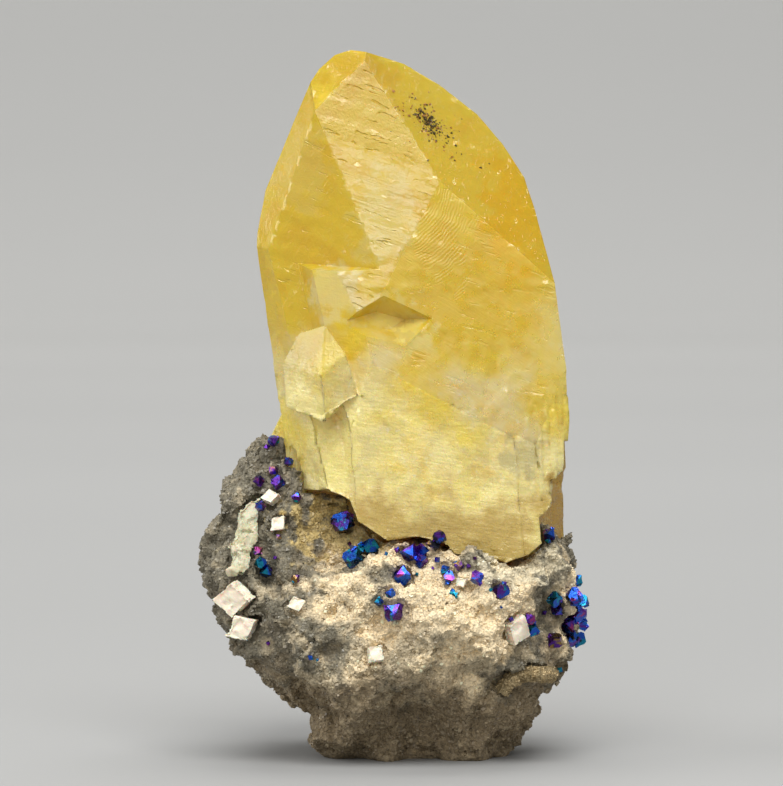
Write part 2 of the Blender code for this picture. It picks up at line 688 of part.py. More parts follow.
def marcasite_crust(tree, collection, material):
    """The curved bronze crust: a round-backed rail laid along the rock."""
    curve = bpy.data.curves.new("marcasite_crust", "CURVE")
    curve.dimensions = "3D"
    curve.bevel_depth = CRUST_RADIUS * MM
    curve.bevel_resolution = 1
    curve.use_fill_caps = True
    spline = curve.splines.new("POLY")
    spline.points.add(len(CRUST_LINE) - 1)
    for point, (x, z) in zip(spline.points, CRUST_LINE):
        place = seen_at([tree], x, z)[0]
        point.co = (place.x, place.y, place.z, 1)
    guide = bpy.data.objects.new("marcasite_guide", curve)
    collection.objects.link(guide)
    bpy.context.view_layer.update()
    graph = bpy.context.evaluated_depsgraph_get()
    bm = bmesh.new()
    bm.from_mesh(bpy.data.meshes.new_from_object(guide.evaluated_get(graph)))
    bmesh.ops.remove_doubles(bm, verts=bm.verts, dist=1e-6)
    bpy.data.objects.remove(guide, do_unlink=True)
    return new_solid("marcasite_crust", bm, collection, material)


def keep_largest_body(obj):
    """Drops loose crumbs that a cut leaves behind."""
    bm = bmesh.new()
    bm.from_mesh(obj.data)
    unseen, bodies = set(bm.verts), []
    while unseen:
        body, edge_of_search = set(), [unseen.pop()]
        while edge_of_search:
            vert = edge_of_search.pop()
            body.add(vert)
            for link in vert.link_edges:
                other = link.other_vert(vert)
                if other in unseen:
                    unseen.discard(other)
                    edge_of_search.append(other)
        bodies.append(body)
    largest = max(bodies, key=len)
    bmesh.ops.delete(bm, geom=[v for v in bm.verts if v not in largest], context="VERTS")
    bm.to_mesh(obj.data)
    bm.free()


def build():
    """Makes every mineral and cuts its socket in the rock."""
    clear_scene()
    dice = random.Random(SEED)
    specimen = new_collection("calcite_specimen")
    gold = new_material("calcite_gold", CALCITE_GOLD, 0.12)
    grey = new_material("dolostone_grey", ROCK_GREY, 0.85)
    blue = new_material("chalcopyrite_blue", CHALCOPYRITE_BLUE, 0.25, 0.9)
    pale = new_material("dolomite_pale", DOLOMITE_PALE, 0.4)
    green = new_material("seam_green", SEAM_GREEN, 0.5)
    brown = new_material("marcasite_brown", MARCASITE_BROWN, 0.45, 0.6)

    crystal = calcite_crystal("calcite_crystal", specimen, gold)
    seats = [surface_of(crystal)]
    rock = dolostone_matrix(specimen, grey)
    bare_rock = surface_of(rock)
    seats.append(bare_rock)
    combine(rock, "DIFFERENCE", calcite_crystal("crystal_socket", specimen, margin=GAP))
    keep_largest_body(rock)

    fixed = [pale_seam(bare_rock, specimen, green), marcasite_crust(bare_rock, specimen, brown)]
    for name, (x, z, edge, thickness, turn) in DOLOMITE_RHOMBS.items():
        place, normal = seen_at([bare_rock], x, z)
        fixed.append(new_solid(name, rhomb(edge, thickness, place, normal, turn), specimen, pale))

    wide_crystal = calcite_crystal("margin", specimen, margin=1.2 * GAP)
    keep_clear = [surface_of(wide_crystal)]
    keep_clear += [surface_of(grown(o, 1.2 * GAP, "margin", specimen)) for o in fixed]
    for margin in [o for o in specimen.objects if o.name.startswith("margin")]:
        bpy.data.objects.remove(margin, do_unlink=True)
    sockets = [grown(mineral, GAP, "socket", specimen) for mineral in fixed]
    for zones, from_back in ((CHALCOPYRITE_FRONT, False), (CHALCOPYRITE_BACK, True)):
        for zone, spots in zones.items():
            sockets += grow_crystals(zone, spots, seats, keep_clear, dice, specimen, blue, from_back)

    all_sockets = sockets.pop()
    for socket in sockets:
        combine(all_sockets, "UNION", socket)
    combine(rock, "DIFFERENCE", all_sockets)
    keep_largest_body(rock)


build()
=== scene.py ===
"""The looks of a golden calcite crystal that stands on a lump of grey dolostone.

Every size is in millimetres and is turned into metres by MM. +Z is up and the
front faces -Y, as in the frame.
"""

import json
import math
import random

import bmesh
import bpy
from bpy.props import FloatProperty, FloatVectorProperty, IntProperty, PointerProperty
from bpy.types import Operator, Panel, PropertyGroup
from mathutils import Matrix, Vector, noise
from mathutils.bvhtree import BVHTree

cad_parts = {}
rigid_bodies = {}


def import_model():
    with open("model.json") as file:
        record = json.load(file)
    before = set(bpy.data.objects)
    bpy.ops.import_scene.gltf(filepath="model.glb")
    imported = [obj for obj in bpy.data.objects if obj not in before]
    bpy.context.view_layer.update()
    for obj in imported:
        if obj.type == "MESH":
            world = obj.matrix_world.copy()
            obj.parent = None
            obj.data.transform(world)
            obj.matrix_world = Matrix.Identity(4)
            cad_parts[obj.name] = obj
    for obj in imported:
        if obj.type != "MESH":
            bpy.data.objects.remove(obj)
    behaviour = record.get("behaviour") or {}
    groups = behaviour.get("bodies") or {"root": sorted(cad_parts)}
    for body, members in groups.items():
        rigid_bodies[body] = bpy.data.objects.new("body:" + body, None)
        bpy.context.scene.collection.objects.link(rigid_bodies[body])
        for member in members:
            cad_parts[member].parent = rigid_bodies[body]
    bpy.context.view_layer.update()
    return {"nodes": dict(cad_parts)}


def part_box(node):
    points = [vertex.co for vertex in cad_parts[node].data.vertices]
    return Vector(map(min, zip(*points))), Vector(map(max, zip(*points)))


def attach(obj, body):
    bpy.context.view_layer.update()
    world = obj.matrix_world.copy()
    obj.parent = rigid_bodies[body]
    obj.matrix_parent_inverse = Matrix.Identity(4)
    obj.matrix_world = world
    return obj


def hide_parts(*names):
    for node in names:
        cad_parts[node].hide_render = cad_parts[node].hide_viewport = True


bl_info = {
    "name": "Golden calcite specimen",
    "version": (1, 0, 0),
    "blender": (4, 5, 0),
    "location": "View3D > Sidebar > Specimen",
    "description": "Dresses a golden calcite crystal, its rock and its small crystals",
    "category": "Add Mesh",
}

MM = 0.001
BODY = "root"
# A patch of colour is at its fullest within this share of its reach.
PATCH_CORE = 0.55
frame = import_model()
CRYSTAL_LOW, CRYSTAL_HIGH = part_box("calcite_crystal")


def colour_property(name, description, default):
    """A colour that a user can change, with its opacity left out."""
    return FloatVectorProperty(
        name=name, description=description, default=default, subtype="COLOR", size=3, min=0.0, max=1.0
    )


def length_property(name, description, default_mm):
    """A length that a user can change, in metres."""
    return FloatProperty(
        name=name, description=description, default=default_mm * MM, unit="LENGTH", min=0.0, precision=5
    )


def strength_property(name, description, default):
    """A strength that a user can change, from 0 up."""
    return FloatProperty(name=name, description=description, default=default, min=0.0)


class CalciteSettings(PropertyGroup):
    """Colours and clearness of the golden crystal."""

    gold: colour_property("Gold", "Colour of the clear upper crystal", (0.98, 0.74, 0.05))
    cloud: colour_property("Cloud", "Colour of the clouded lower crystal", (0.99, 0.84, 0.34))
    depth_tint: colour_property("Depth tint", "Colour that thickness gives the crystal", (0.99, 0.90, 0.04))
    tint_per_metre: strength_property("Tint density", "How fast the depth colours light, per metre", 130.0)
    clearness: FloatProperty(
        name="Clearness",
        description="Share of light the upper crystal lets through",
        default=0.55,
        min=0.0,
        max=1.0,
        subtype="FACTOR",
    )
    facet_grid: length_property("Facet grid", "Spacing of the points on the crystal's faces", 0.5)
    veil_count: IntProperty(name="Veils", description="Number of fracture veils inside", default=260, min=0)
    speck_count: IntProperty(name="Specks", description="Number of dark specks inside", default=520, min=0)


class RockSettings(PropertyGroup):
    """Colours and grain of the dolostone."""

    tan: colour_property("Tan", "Colour of the sugary terrace", (0.83, 0.68, 0.44))
    grey: colour_property("Grey", "Colour of the weathered rock", (0.175, 0.155, 0.108))
    dark: colour_property("Dark", "Colour of the hollows and the low front", (0.31, 0.23, 0.13))
    voxel: length_property("Surface cell", "Size of the rock's surface cells", 0.34)
    lump_height: length_property("Lump height", "Height of the rock's smallest lumps", 0.34)
    grain_size: length_property("Grain size", "Size of the rock's dolomite grains", 0.30)
    grain_count: IntProperty(name="Grains", description="Number of grains in each heap", default=16000, min=0)


class MetalSettings(PropertyGroup):
    """Tarnish colours of the chalcopyrite and the marcasite."""

    blue: colour_property("Blue", "Main tarnish colour", (0.025, 0.10, 0.52))
    violet: colour_property("Violet", "Second tarnish colour", (0.11, 0.03, 0.28))
    magenta: colour_property("Magenta", "Tarnish towards red", (0.30, 0.05, 0.20))
    teal: colour_property("Teal", "Tarnish towards green", (0.02, 0.27, 0.42))
    bronze: colour_property("Bronze", "Tarnish of the oldest faces", (0.30, 0.19, 0.07))
    black: colour_property("Black", "Dull faces", (0.03, 0.03, 0.045))
    marcasite: colour_property("Marcasite", "Colour of the curved crust", (0.32, 0.245, 0.13))


class PaleSettings(PropertyGroup):
    """Colours of the pale minerals."""

    dolomite: colour_property("Dolomite", "Colour of the rhombs", (0.86, 0.76, 0.60))
    seam: colour_property("Seam", "Colour of the pale calcite seam", (0.50, 0.47, 0.30))


class StageSettings(PropertyGroup):
    """The floor, the backdrop and the light."""

    paper: colour_property("Paper", "Colour of the floor and backdrop", (0.29, 0.29, 0.284))
    # Strength of the light and shade painted along the paper.
    paper_painted_light: strength_property("Far paper", "Strength of the backdrop's fade", 1.0)
    view_height: FloatProperty(
        name="View height", description="Height angle of the camera", default=0.07, unit="ROTATION"
    )
    overhead: strength_property("Overhead light", "Radiance of the top light", 3.6)
    high_front: strength_property("High front light", "Radiance of the main light", 9.0)
    front: strength_property("Front panel", "Radiance of the low front panel", 4.2)
    left: strength_property("Left panel", "Radiance of the left panel", 2.6)
    sky: strength_property("Sky", "Strength of the light from all round", 0.38)


SETTINGS = {
    "calcite": CalciteSettings,
    "rock": RockSettings,
    "metal": MetalSettings,
    "pale": PaleSettings,
    "stage": StageSettings,
}


def settings(name):
    """One group of the scene's settings."""
    return getattr(bpy.context.scene, "specimen_" + name)


class Finish:
    """One node material: a Principled shader and the nodes that feed it."""

    def __init__(self, name, colour, roughness, metallic=0.0):
        self.material = bpy.data.materials.new(name)
        self.material.use_nodes = True
        self.tree = self.material.node_tree
        self.shader = self.tree.nodes["Principled BSDF"]
        self.place = self.node("ShaderNodeTexCoord").outputs["Object"]
        self.set(**{"Base Color": (*colour, 1.0), "Roughness": roughness, "Metallic": metallic})

    def set(self, **values):
        """Sets plain values of the shader."""
        for name, value in values.items():
            self.shader.inputs[name].default_value = value

    def node(self, kind, inputs=None, **options):
        """Adds a node. An input is given a plain value or another node's output."""
        node = self.tree.nodes.new(kind)
        for name, value in options.items():
            setattr(node, name, value)
        for name, value in (inputs or {}).items():
            self.feed(node.inputs[name], value)
        return node

    def feed(self, socket, value):
        """Links an output to a socket, or sets the socket's value."""
        if isinstance(value, bpy.types.NodeSocket):
            self.tree.links.new(value, socket)
        else:
            socket.default_value = value

    def noise(self, size_mm, detail=3.0, distortion=0.0):
        """Smooth noise whose lumps are about size_mm wide, as a value from 0 to 1."""
        inputs = {"Vector": self.place, "Scale": 1 / (size_mm * MM), "Detail": detail}
        inputs["Distortion"] = distortion
        return self.node("ShaderNodeTexNoise", inputs).outputs["Fac"]

    def cells(self, size_mm):
        """Distance from the middles of random cells about size_mm wide."""
        inputs = {"Vector": self.place, "Scale": 1 / (size_mm * MM)}
        return self.node("ShaderNodeTexVoronoi", inputs).outputs["Distance"]

    def axis(self, name):
        """One coordinate of the object's surface, in metres."""
        return self.node("ShaderNodeSeparateXYZ", {"Vector": self.place}).outputs[name]

    def span(self, value, low, high, to_low=0.0, to_high=1.0):
        """Maps low to high onto another range and holds it at the ends."""
        inputs = {"Value": value, "From Min": low, "From Max": high, "To Min": to_low, "To Max": to_high}
        return self.node("ShaderNodeMapRange", inputs, interpolation_type="SMOOTHSTEP").outputs["Result"]

    def sum(self, a, b, operation="ADD"):
        """Arithmetic on two values."""
        return self.node("ShaderNodeMath", {0: a, 1: b}, operation=operation).outputs["Value"]

    def vector(self, operation, a, b=(0, 0, 0), output="Vector"):
        """Arithmetic on vectors."""
        return self.node("ShaderNodeVectorMath", {0: a, 1: b}, operation=operation).outputs[output]

    def blend(self, share, a, b):
        """Mixes two colours by a share."""
        node = self.node("ShaderNodeMix", data_type="RGBA")
        for socket, value in ((node.inputs[0], share), (node.inputs[6], a), (node.inputs[7], b)):
            if not isinstance(value, bpy.types.NodeSocket) and hasattr(value, "__len__"):
                value = (*value[:3], 1.0)
            self.feed(socket, value)
        return node.outputs[2]

    def scaled(self, colour, factor):
        """A colour made brighter or darker by a factor."""
        node = self.node("ShaderNodeVectorMath", {0: colour, "Scale": factor}, operation="SCALE")
        return node.outputs["Vector"]

    def stain(self, base, colour, share, lumps, low, high, within=None):
        """Puts a colour over the base where noise of these lumps rises from low to high."""
        mask = self.span(self.noise(*lumps), low, high)
        if within is not None:
            mask = self.sum(mask, within, "MULTIPLY")
        return self.blend(self.sum(mask, share, "MULTIPLY"), base, colour)

    def colour(self, output):
        """Feeds the shader's colour."""
        self.tree.links.new(output, self.shader.inputs["Base Color"])

    def rough(self, output):
        """Feeds the shader's roughness."""
        self.tree.links.new(output, self.shader.inputs["Roughness"])

    def bump(self, height, distance_mm):
        """Raises the surface by a height from 0 to 1, over whatever bump there is already."""
        socket = self.shader.inputs["Normal"]
        inputs = {"Height": height, "Distance": distance_mm * MM, "Strength": 1.0}
        if socket.is_linked:
            inputs["Normal"] = socket.links[0].from_socket
        self.tree.links.new(self.node("ShaderNodeBump", inputs).outputs["Normal"], socket)

    def streaks(self, across_mm, stretch, tilt):
        """Fine lines that descend to the right by tilt degrees in the front view."""
        turn = {"Vector": self.place, "Angle": math.radians(-tilt)}
        turned = self.node("ShaderNodeVectorRotate", turn, rotation_type="Y_AXIS")
        scale = 1 / (across_mm * MM)
        longer = self.vector("MULTIPLY", turned.outputs["Vector"], (scale / stretch, scale / stretch, scale))
        inputs = {"Vector": longer, "Scale": 1.0, "Detail": 2.0, "Distortion": 0.25}
        return self.node("ShaderNodeTexNoise", inputs).outputs["Fac"]

    def steps(self, across_mm, stretch, tilt, patch_mm):
        """Sparse thin ledges along the growth lines, in patches."""
        line = self.span(self.streaks(across_mm, stretch, tilt), 0.60, 0.68)
        return self.sum(line, self.span(self.noise(patch_mm, 3), 0.45, 0.60), "MULTIPLY")

    def offset_from(self, middle):
        """How far the surface lies from a middle given in mm, as a vector in metres."""
        return self.vector("SUBTRACT", self.place, [c * MM for c in middle])

    def arcs(self, centre, spacing_mm):
        """Growth lines that run in arcs about a centre, as a value from -1 to 1."""
        reach = self.vector("LENGTH", self.offset_from(centre), output="Value")
        uneven = self.span(self.noise(2.6, 3), 0.2, 0.8, 0.0, 1.6 * spacing_mm * MM)
        phase = self.sum(self.sum(reach, uneven), math.tau / (spacing_mm * MM), "MULTIPLY")
        return self.sum(phase, 0.0, "SINE")

    def near(self, middle, reach, most=1.0, waver=0.3):
        """A share that is most at a middle and 0 beyond its reach along each axis, all in mm."""
        squash = self.vector("MULTIPLY", self.offset_from(middle), [1 / (r * MM) for r in reach])
        length = self.vector("LENGTH", squash, output="Value")
        rough = self.span(self.noise(0.45 * min(reach), 5), 0.3, 0.7, -waver, waver)
        return self.span(self.sum(length, rough), 1.0, PATCH_CORE, 0.0, most)


def copy_of(node):
    """A bmesh of a CAD node's own mesh."""
    source = next(o for o in bpy.data.objects if o.type == "MESH" and o.name == node)
    bm = bmesh.new()
    bm.from_mesh(source.data)
    bmesh.ops.remove_doubles(bm, verts=bm.verts, dist=1e-6)
    return bm


def tree_of(node):
    """A tree for asking where a CAD node's surface is."""
    bm = copy_of(node)
    tree = BVHTree.FromBMesh(bm)
    bm.free()
    return tree


def seen_from_front(tree, x, z):
    """What the front view meets at x and z in mm, as the tree's own ray_cast gives it."""
    return tree.ray_cast(Vector((x, -50, z)) * MM, Vector((0, 1, 0)))


def mesh_of(name, bm):
    """A mesh made from a bmesh, which it uses up."""
    mesh = bpy.data.meshes.new(name)
    bm.to_mesh(mesh)
    bm.free()
    return mesh


def placed(name, data):
    """An object of the scene that shows a mesh, a light or the camera."""
    obj = bpy.data.objects.new(name, data)
    bpy.context.scene.collection.objects.link(obj)
    return obj


def new_piece(name, bm, finishes, smooth_angle=None):
    """A visible piece that rides on the specimen. It uses up the bmesh."""
    mesh = mesh_of(name, bm)
    for finish in finishes:
        mesh.materials.append(finish)
    if smooth_angle is None:
        mesh.shade_flat()
    else:
        mesh.shade_smooth()
        mesh.set_sharp_from_angle(angle=math.radians(smooth_angle))
    piece = placed(name, mesh)
    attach(piece, BODY)
    return piece


def remeshed(bm, voxel):
    """The same form with an even net of small cells."""
    obj = placed("remesh", mesh_of("remesh", bm))
    modifier = obj.modifiers.new("Cells", "REMESH")
    modifier.mode = "VOXEL"
    modifier.voxel_size = voxel
    bpy.context.view_layer.update()
    graph = bpy.context.evaluated_depsgraph_get()
    result = bmesh.new()
    result.from_mesh(bpy.data.meshes.new_from_object(obj.evaluated_get(graph)))
    bpy.data.objects.remove(obj, do_unlink=True)
    return result


def displace(bm, height_at):
    """Moves each point along its normal by a height in metres."""
    bm.normal_update()
    moves = [(v, v.normal * height_at(v)) for v in bm.verts]
    for vert, move in moves:
        vert.co += move


def slice_faces(bm, low, high, spacing):
    """Cuts flat faces into a grid, so that they can be shaped, and keeps every edge sharp."""
    for axis in range(3):
        normal = Vector([float(i == axis) for i in range(3)])
        steps = int((high[axis] - low[axis]) / spacing)
        for step in range(1, steps + 1):
            place = Vector(low) + normal * step * spacing
            everything = bm.verts[:] + bm.edges[:] + bm.faces[:]
            bmesh.ops.bisect_plane(bm, geom=everything, plane_co=place, plane_no=normal, dist=1e-7)
    bmesh.ops.triangulate(bm, faces=bm.faces)


class Crumbs:
    """Many small crystals and grains that make one mesh."""

    def __init__(self):
        self.points, self.faces, self.finishes = [], [], []

    def add(self, form, centre, corners, sides, finish):
        """Adds one closed form."""
        first = len(self.points)
        self.points += [form @ corner + centre for corner in corners]
        self.faces += [[first + corner for corner in side] for side in sides]
        self.finishes += [finish] * len(sides)

    def block(self, centre, size, turn, shear=0.25, finish=0):
        """Adds a sheared block, the shape that calcite and dolomite break into."""
        form = turn @ Matrix(((1, 0, shear), (0, 1, shear / 2), (0, 0, 1))) @ Matrix.Diagonal(Vector(size))
        self.add(form, centre, BLOCK_CORNERS, BLOCK_SIDES, finish)

    def spindle(self, centre, size, turn, finish=0):
        """Adds an eight-sided crystal with two points, the shape of a small chalcopyrite."""
        self.add(turn @ Matrix.Diagonal(Vector(size)), centre, OCTAHEDRON_TIPS, OCTAHEDRON_SIDES, finish)

    def piece(self, name, finishes, slot):
        """All of them as one visible piece."""
        mesh = bpy.data.meshes.new(name)
        mesh.from_pydata(self.points, [], self.faces)
        mesh.polygons.foreach_set("material_index", self.finishes)
        bm = bmesh.new()
        bm.from_mesh(mesh)
        bpy.data.meshes.remove(mesh)
        bmesh.ops.recalc_face_normals(bm, faces=bm.faces)
        return new_piece(name, bm, finishes)


BLOCK_CORNERS = [Vector((x, y, z)) / 2 for x in (-1, 1) for y in (-1, 1) for z in (-1, 1)]
BLOCK_SIDES = ((0, 1, 3, 2), (4, 6, 7, 5), (0, 4, 5, 1), (2, 3, 7, 6), (0, 2, 6, 4), (1, 5, 7, 3))
OCTAHEDRON_TIPS = [Vector(tip) for tip in ((1, 0, 0), (-1, 0, 0), (0, 1, 0), (0, -1, 0), (0, 0, 1), (0, 0, -1))]
OCTAHEDRON_SIDES = (
    (0, 2, 4), (2, 1, 4), (1, 3, 4), (3, 0, 4), (2, 0, 5), (1, 2, 5), (3, 1, 5), (0, 3, 5),
)


def random_turn(dice):
    """A rotation with no preferred direction."""
    axis = Vector((dice.gauss(0, 1), dice.gauss(0, 1), dice.gauss(0, 1))).normalized()
    return Matrix.Rotation(dice.uniform(0, math.tau), 3, axis)


def chipped(point, size, step, tilt):
    """Height of flat chips about size wide: each has its own level and slope."""
    seed = noise.voronoi(point / size)[1][0]
    slope = noise.cell_vector(seed * 7.31 + Vector((0.5, 0.5, 0.5))) - Vector((0.5, 0.5, 0.5))
    level = noise.cell(seed * 5.17 + Vector((0.3, 0.3, 0.3)))
    return step * level + tilt * slope.dot(point - seed * size)


def inside(tree, point):
    """Whether a point lies inside a closed surface."""
    crossings, start = 0, point.copy()
    while True:
        place = tree.ray_cast(start, Vector((0, 0, 1)))[0]
        if place is None:
            return crossings % 2 == 1
        crossings += 1
        start = place + Vector((0, 0, 1e-6))


# The golden crystal

# The crystal is clear above the first height and all cloud below the second. Both waver by the third.
CLEAR_ABOVE, CLOUD_BELOW, HEIGHT_WAVER = 54.0, 34.0, 11.0
# Milky lumps and flecks fade in between these heights.
FLECK_TOP, FLECK_FULL = 52.0, 38.0
DEEP_TINT = (0.88, 0.76, 0.60)
MILKY = (0.96, 0.83, 0.42)
FLECK = (1.0, 0.93, 0.62)
# The cloud's middle height, the depth over which it thickens and its waver, in mm.
CLOUD_LEVEL = 41.0
CLOUD_DEPTH = 26.0
CLOUD_WAVER = 12.0
# The faces are sorted into this many levels of cloud. The last has lost this share of its clearness.
LEVELS = 6
MOST_CLOUD = 0.66
# Edges more clouded than this are worn, and a face this close to a front face's direction belongs to it.
WORN_EDGES = 0.45
SAME_DIRECTION = 0.9995
# The front pyramid's foot sinks into the crystal's body here.
SINK_MIDDLE = (-7.6, -11.5, 39.5)
SINK_DEPTH = 0.7
SINK_REACH = 5.0
# Three corners of each front face, in mm, and the tilt of the growth lines on them, in degrees.
FRONT_CORNERS = {
    "striated": ((-3.3, -2.0, 79.7), (5.3, -5.8, 66.1), (-0.2, -8.6, 55.7)),
    "grained": ((5.3, -5.8, 66.1), (16.7, -6.5, 56.0), (-0.2, -8.6, 55.7)),
    "smooth": ((-3.3, -2.0, 79.7), (5.3, -5.8, 66.1), (16.7, -6.5, 56.0)),
    "left": ((-8.9, -3.5, 74.1), (-2.8, -7.6, 59.2), (-13.2, -3.5, 61.4)),
}
STRIATION_TILT = 19.0
LEFT_TILT = -58.0
# A veil's widths, thickness and depth under the surface, in mm.
VEIL_LEAST, VEIL_MOST, VEIL_THICKNESS, VEIL_DEPTH = 0.6, 3.2, 0.05, 0.7
# The specks' middle and spread in x and z, the lean of their cloud, how often one strays, and sizes, in mm.
SPECK_MIDDLE = (4.2, 72.6)
SPECK_SPREAD = (1.7, 1.2)
SPECK_LEAN = 0.75
STRAY_SPECKS = 11
SPECK_LEAST, SPECK_MOST, SPECK_USUAL = 0.08, 0.34, 0.13
# Each patch of another colour in the crystal: middle and reach in mm, share and colour. Some are painted light,
# painted sheen or painted views through the crystal, as marked at each.
CALCITE_PATCHES = (
    ((-8.5, -9.0, 46.0), (5.0, 6.0, 6.0), 0.35, (1.0, 0.86, 0.32)),
    # Painted highlight: this pale patch stands for the light that the ledge block's front facet catches.
    ((-6.8, -9.0, 54.0), (3.8, 5.0, 4.4), 0.60, (1.0, 0.93, 0.46)),
    # Painted light: this yellow patch lifts the shade on a recessed facet low on the left.
    ((-7.0, -9.0, 36.0), (4.0, 7.0, 8.0), 0.75, (1.0, 0.85, 0.28)),
    ((-10.5, -3.0, 67.5), (4.0, 6.0, 6.5), 0.40, (0.94, 0.77, 0.20)),
    ((18.0, -4.0, 46.0), (4.5, 8.0, 9.0), 0.60, (1.0, 0.79, 0.16)),
    # Painted view through the crystal: this grey patch stands for the rock behind, seen through it.
    ((14.3, -9.0, 35.1), (3.2, 4.0, 3.4), 0.60, (0.52, 0.47, 0.22)),
    ((6.0, -11.0, 22.5), (24.0, 14.0, 10.0), 0.95, (0.61, 0.44, 0.12)),
    # Painted view through the crystal: this brown patch stands for the rock behind, seen through it.
    ((-4.2, -10.0, 30.0), (3.0, 3.0, 2.2), 0.35, (0.50, 0.31, 0.07)),
    ((9.0, -7.0, 53.0), (10.0, 7.0, 9.0), 0.55, (0.86, 0.62, 0.03)),
    ((13.5, -2.0, 61.0), (5.0, 9.0, 11.0), 0.75, (1.0, 0.62, 0.0)),
    ((-5.0, 0.0, 79.5), (5.5, 7.0, 4.5), 0.85, (0.84, 0.58, 0.02)),
    # Painted light: these two lighter patches lift the shade in the pit and on its down-facing roof.
    ((2.0, -6.5, 48.8), (4.6, 5.0, 3.8), 0.70, (1.0, 0.87, 0.26)),
    ((-0.5, -7.5, 51.5), (4.0, 4.0, 2.6), 0.70, (1.0, 0.84, 0.22)),
    # Painted sheen: this pale patch stands for the light that the upper front face reflects.
    ((-1.0, -6.0, 61.0), (4.2, 4.0, 8.0), 0.40, (0.94, 0.89, 0.34)),
    ((18.8, 2.0, 30.0), (3.2, 14.0, 12.0), 0.92, (0.48, 0.27, 0.02)),
)
# Curved growth lines lie beside the fold between the two front faces.
ARC_CENTRE = (-1.5, -6.0, 66.0)
ARC_PLACE = ((5.6, -6.0, 59.5), (4.2, 6.0, 7.0), 1.0, 0.4)
# The upper left face is dull above a line that descends to the right: its height at x = 0, and its slope.
DULL_LEVEL = 69.0
DULL_SLOPE = 0.29
# How far the change spreads, and how much rougher the dull part is.
DULL_EDGE = 0.4
DULL_ROUGHNESS = 0.20
ARC_SPACING = 0.36
CALCITE_IOR = 1.6


def calcite_colour(finish):
    """Gold above, paler below, with deeper patches, a brown stain, painted light and sheen on some facets, and
    a grey window and a brown patch painted as the rock seen through the crystal.
    """
    look = settings("calcite")
    waver = finish.span(finish.noise(9, 5), 0.3, 0.7, -HEIGHT_WAVER * MM, HEIGHT_WAVER * MM)
    height = finish.sum(finish.axis("Z"), waver)
    base = finish.blend(finish.span(height, CLEAR_ABOVE * MM, CLOUD_BELOW * MM), look.gold, look.cloud)
    deep = tuple(c * s for c, s in zip(look.gold, DEEP_TINT))
    base = finish.stain(base, deep, 0.40, (5, 6, 0.8), 0.48, 0.68)
    low = finish.span(height, FLECK_TOP * MM, FLECK_FULL * MM)
    base = finish.stain(base, MILKY, 0.55, (2.6, 7, 1.2), 0.50, 0.70, low)
    base = finish.stain(base, FLECK, 0.45, (0.55, 4, 0.6), 0.60, 0.70, low)
    for middle, reach, share, colour in CALCITE_PATCHES:
        base = finish.blend(finish.near(middle, reach, share), base, colour)
    return base


def calcite_finish(name, clearness, roughness, lines, grain=0.05, ledges=0.0, arcs=0.0, dull_top=False):
    """Golden calcite: part clear, part milky, with growth lines on its faces.

    Each of the lines has a width in mm, a stretch, a tilt in degrees and a depth in mm.
    """
    look = settings("calcite")
    finish = Finish(name, look.gold, roughness)
    finish.set(
        **{
            "Transmission Weight": clearness,
            "IOR": CALCITE_IOR,
            "Subsurface Weight": 0.3,
            "Subsurface Radius": (1.0, 0.75, 0.2),
            "Subsurface Scale": 4 * MM,
        }
    )
    finish.colour(calcite_colour(finish))
    gloss = finish.span(finish.noise(1.8, 5), 0.3, 0.75, roughness * 0.6, roughness * 1.8)
    if dull_top:
        leaning = finish.sum(finish.axis("Z"), finish.sum(finish.axis("X"), DULL_SLOPE, "MULTIPLY"))
        top = finish.span(leaning, (DULL_LEVEL - DULL_EDGE) * MM, (DULL_LEVEL + DULL_EDGE) * MM)
        gloss = finish.sum(gloss, finish.sum(top, DULL_ROUGHNESS, "MULTIPLY"))
        finish.bump(finish.sum(finish.noise(0.35, 4, 0.5), top, "MULTIPLY"), 0.055)
    finish.rough(gloss)
    for across, stretch, tilt, depth in lines:
        finish.bump(finish.streaks(across, stretch, tilt), depth)
    if ledges:
        finish.bump(finish.steps(0.55, 5, STRIATION_TILT, 4.0), -ledges)
    if arcs:
        curved = finish.arcs(ARC_CENTRE, ARC_SPACING)
        finish.bump(finish.sum(curved, finish.near(*ARC_PLACE), "MULTIPLY"), arcs)
    finish.bump(finish.noise(0.5, 6, 1.0), grain)
    tint = {"Color": (*look.depth_tint, 1.0), "Density": look.tint_per_metre}
    absorb = finish.node("ShaderNodeVolumeAbsorption", tint)
    finish.tree.links.new(absorb.outputs["Volume"], finish.tree.nodes["Material Output"].inputs["Volume"])
    return finish.material


# Spacing and rise in mm of the broad and the narrow cleavage chips.
BROAD_CHIPS = (5.2, 0.12)
NARROW_CHIPS = (2.1, 0.09)
# Faces that lean up more than this keep their growth form.
UNBROKEN_LEAN = 0.28
# The steps on the upper front faces start here, and the ribs on the right edge lie between two heights.
STEPS_ABOVE, STEP_SPACING, STEP_HEIGHT = 54, 2.3, 0.10
RIB_EDGE, RIB_LOW, RIB_HIGH, RIB_HEIGHT, RIB_PITCH = 15, 31, 42, 0.18, 5.2


def cleavage_steps(p, spacing, rise):
    """Height in mm of flat chips bounded by two sets of straight cleavage lines."""
    wander = 1.5 * noise.noise(p / (1.6 * spacing))
    along = (p.x + 0.22 * p.z) / spacing + wander
    climb = 1.3 * noise.noise(p / (1.5 * spacing) + Vector((7, 3, 1)))
    up = (p.z - 0.34 * p.x + 0.2 * p.y) / (1.25 * spacing) + climb
    cell = Vector((math.floor(along) + 0.5, math.floor(up) + 0.5, 0.5))
    level = noise.cell(cell)
    slope = noise.cell(cell + Vector((31, 17, 5))) - 0.5
    return rise * (level - 0.5) + 0.5 * rise * slope * (up - math.floor(up) - 0.5)


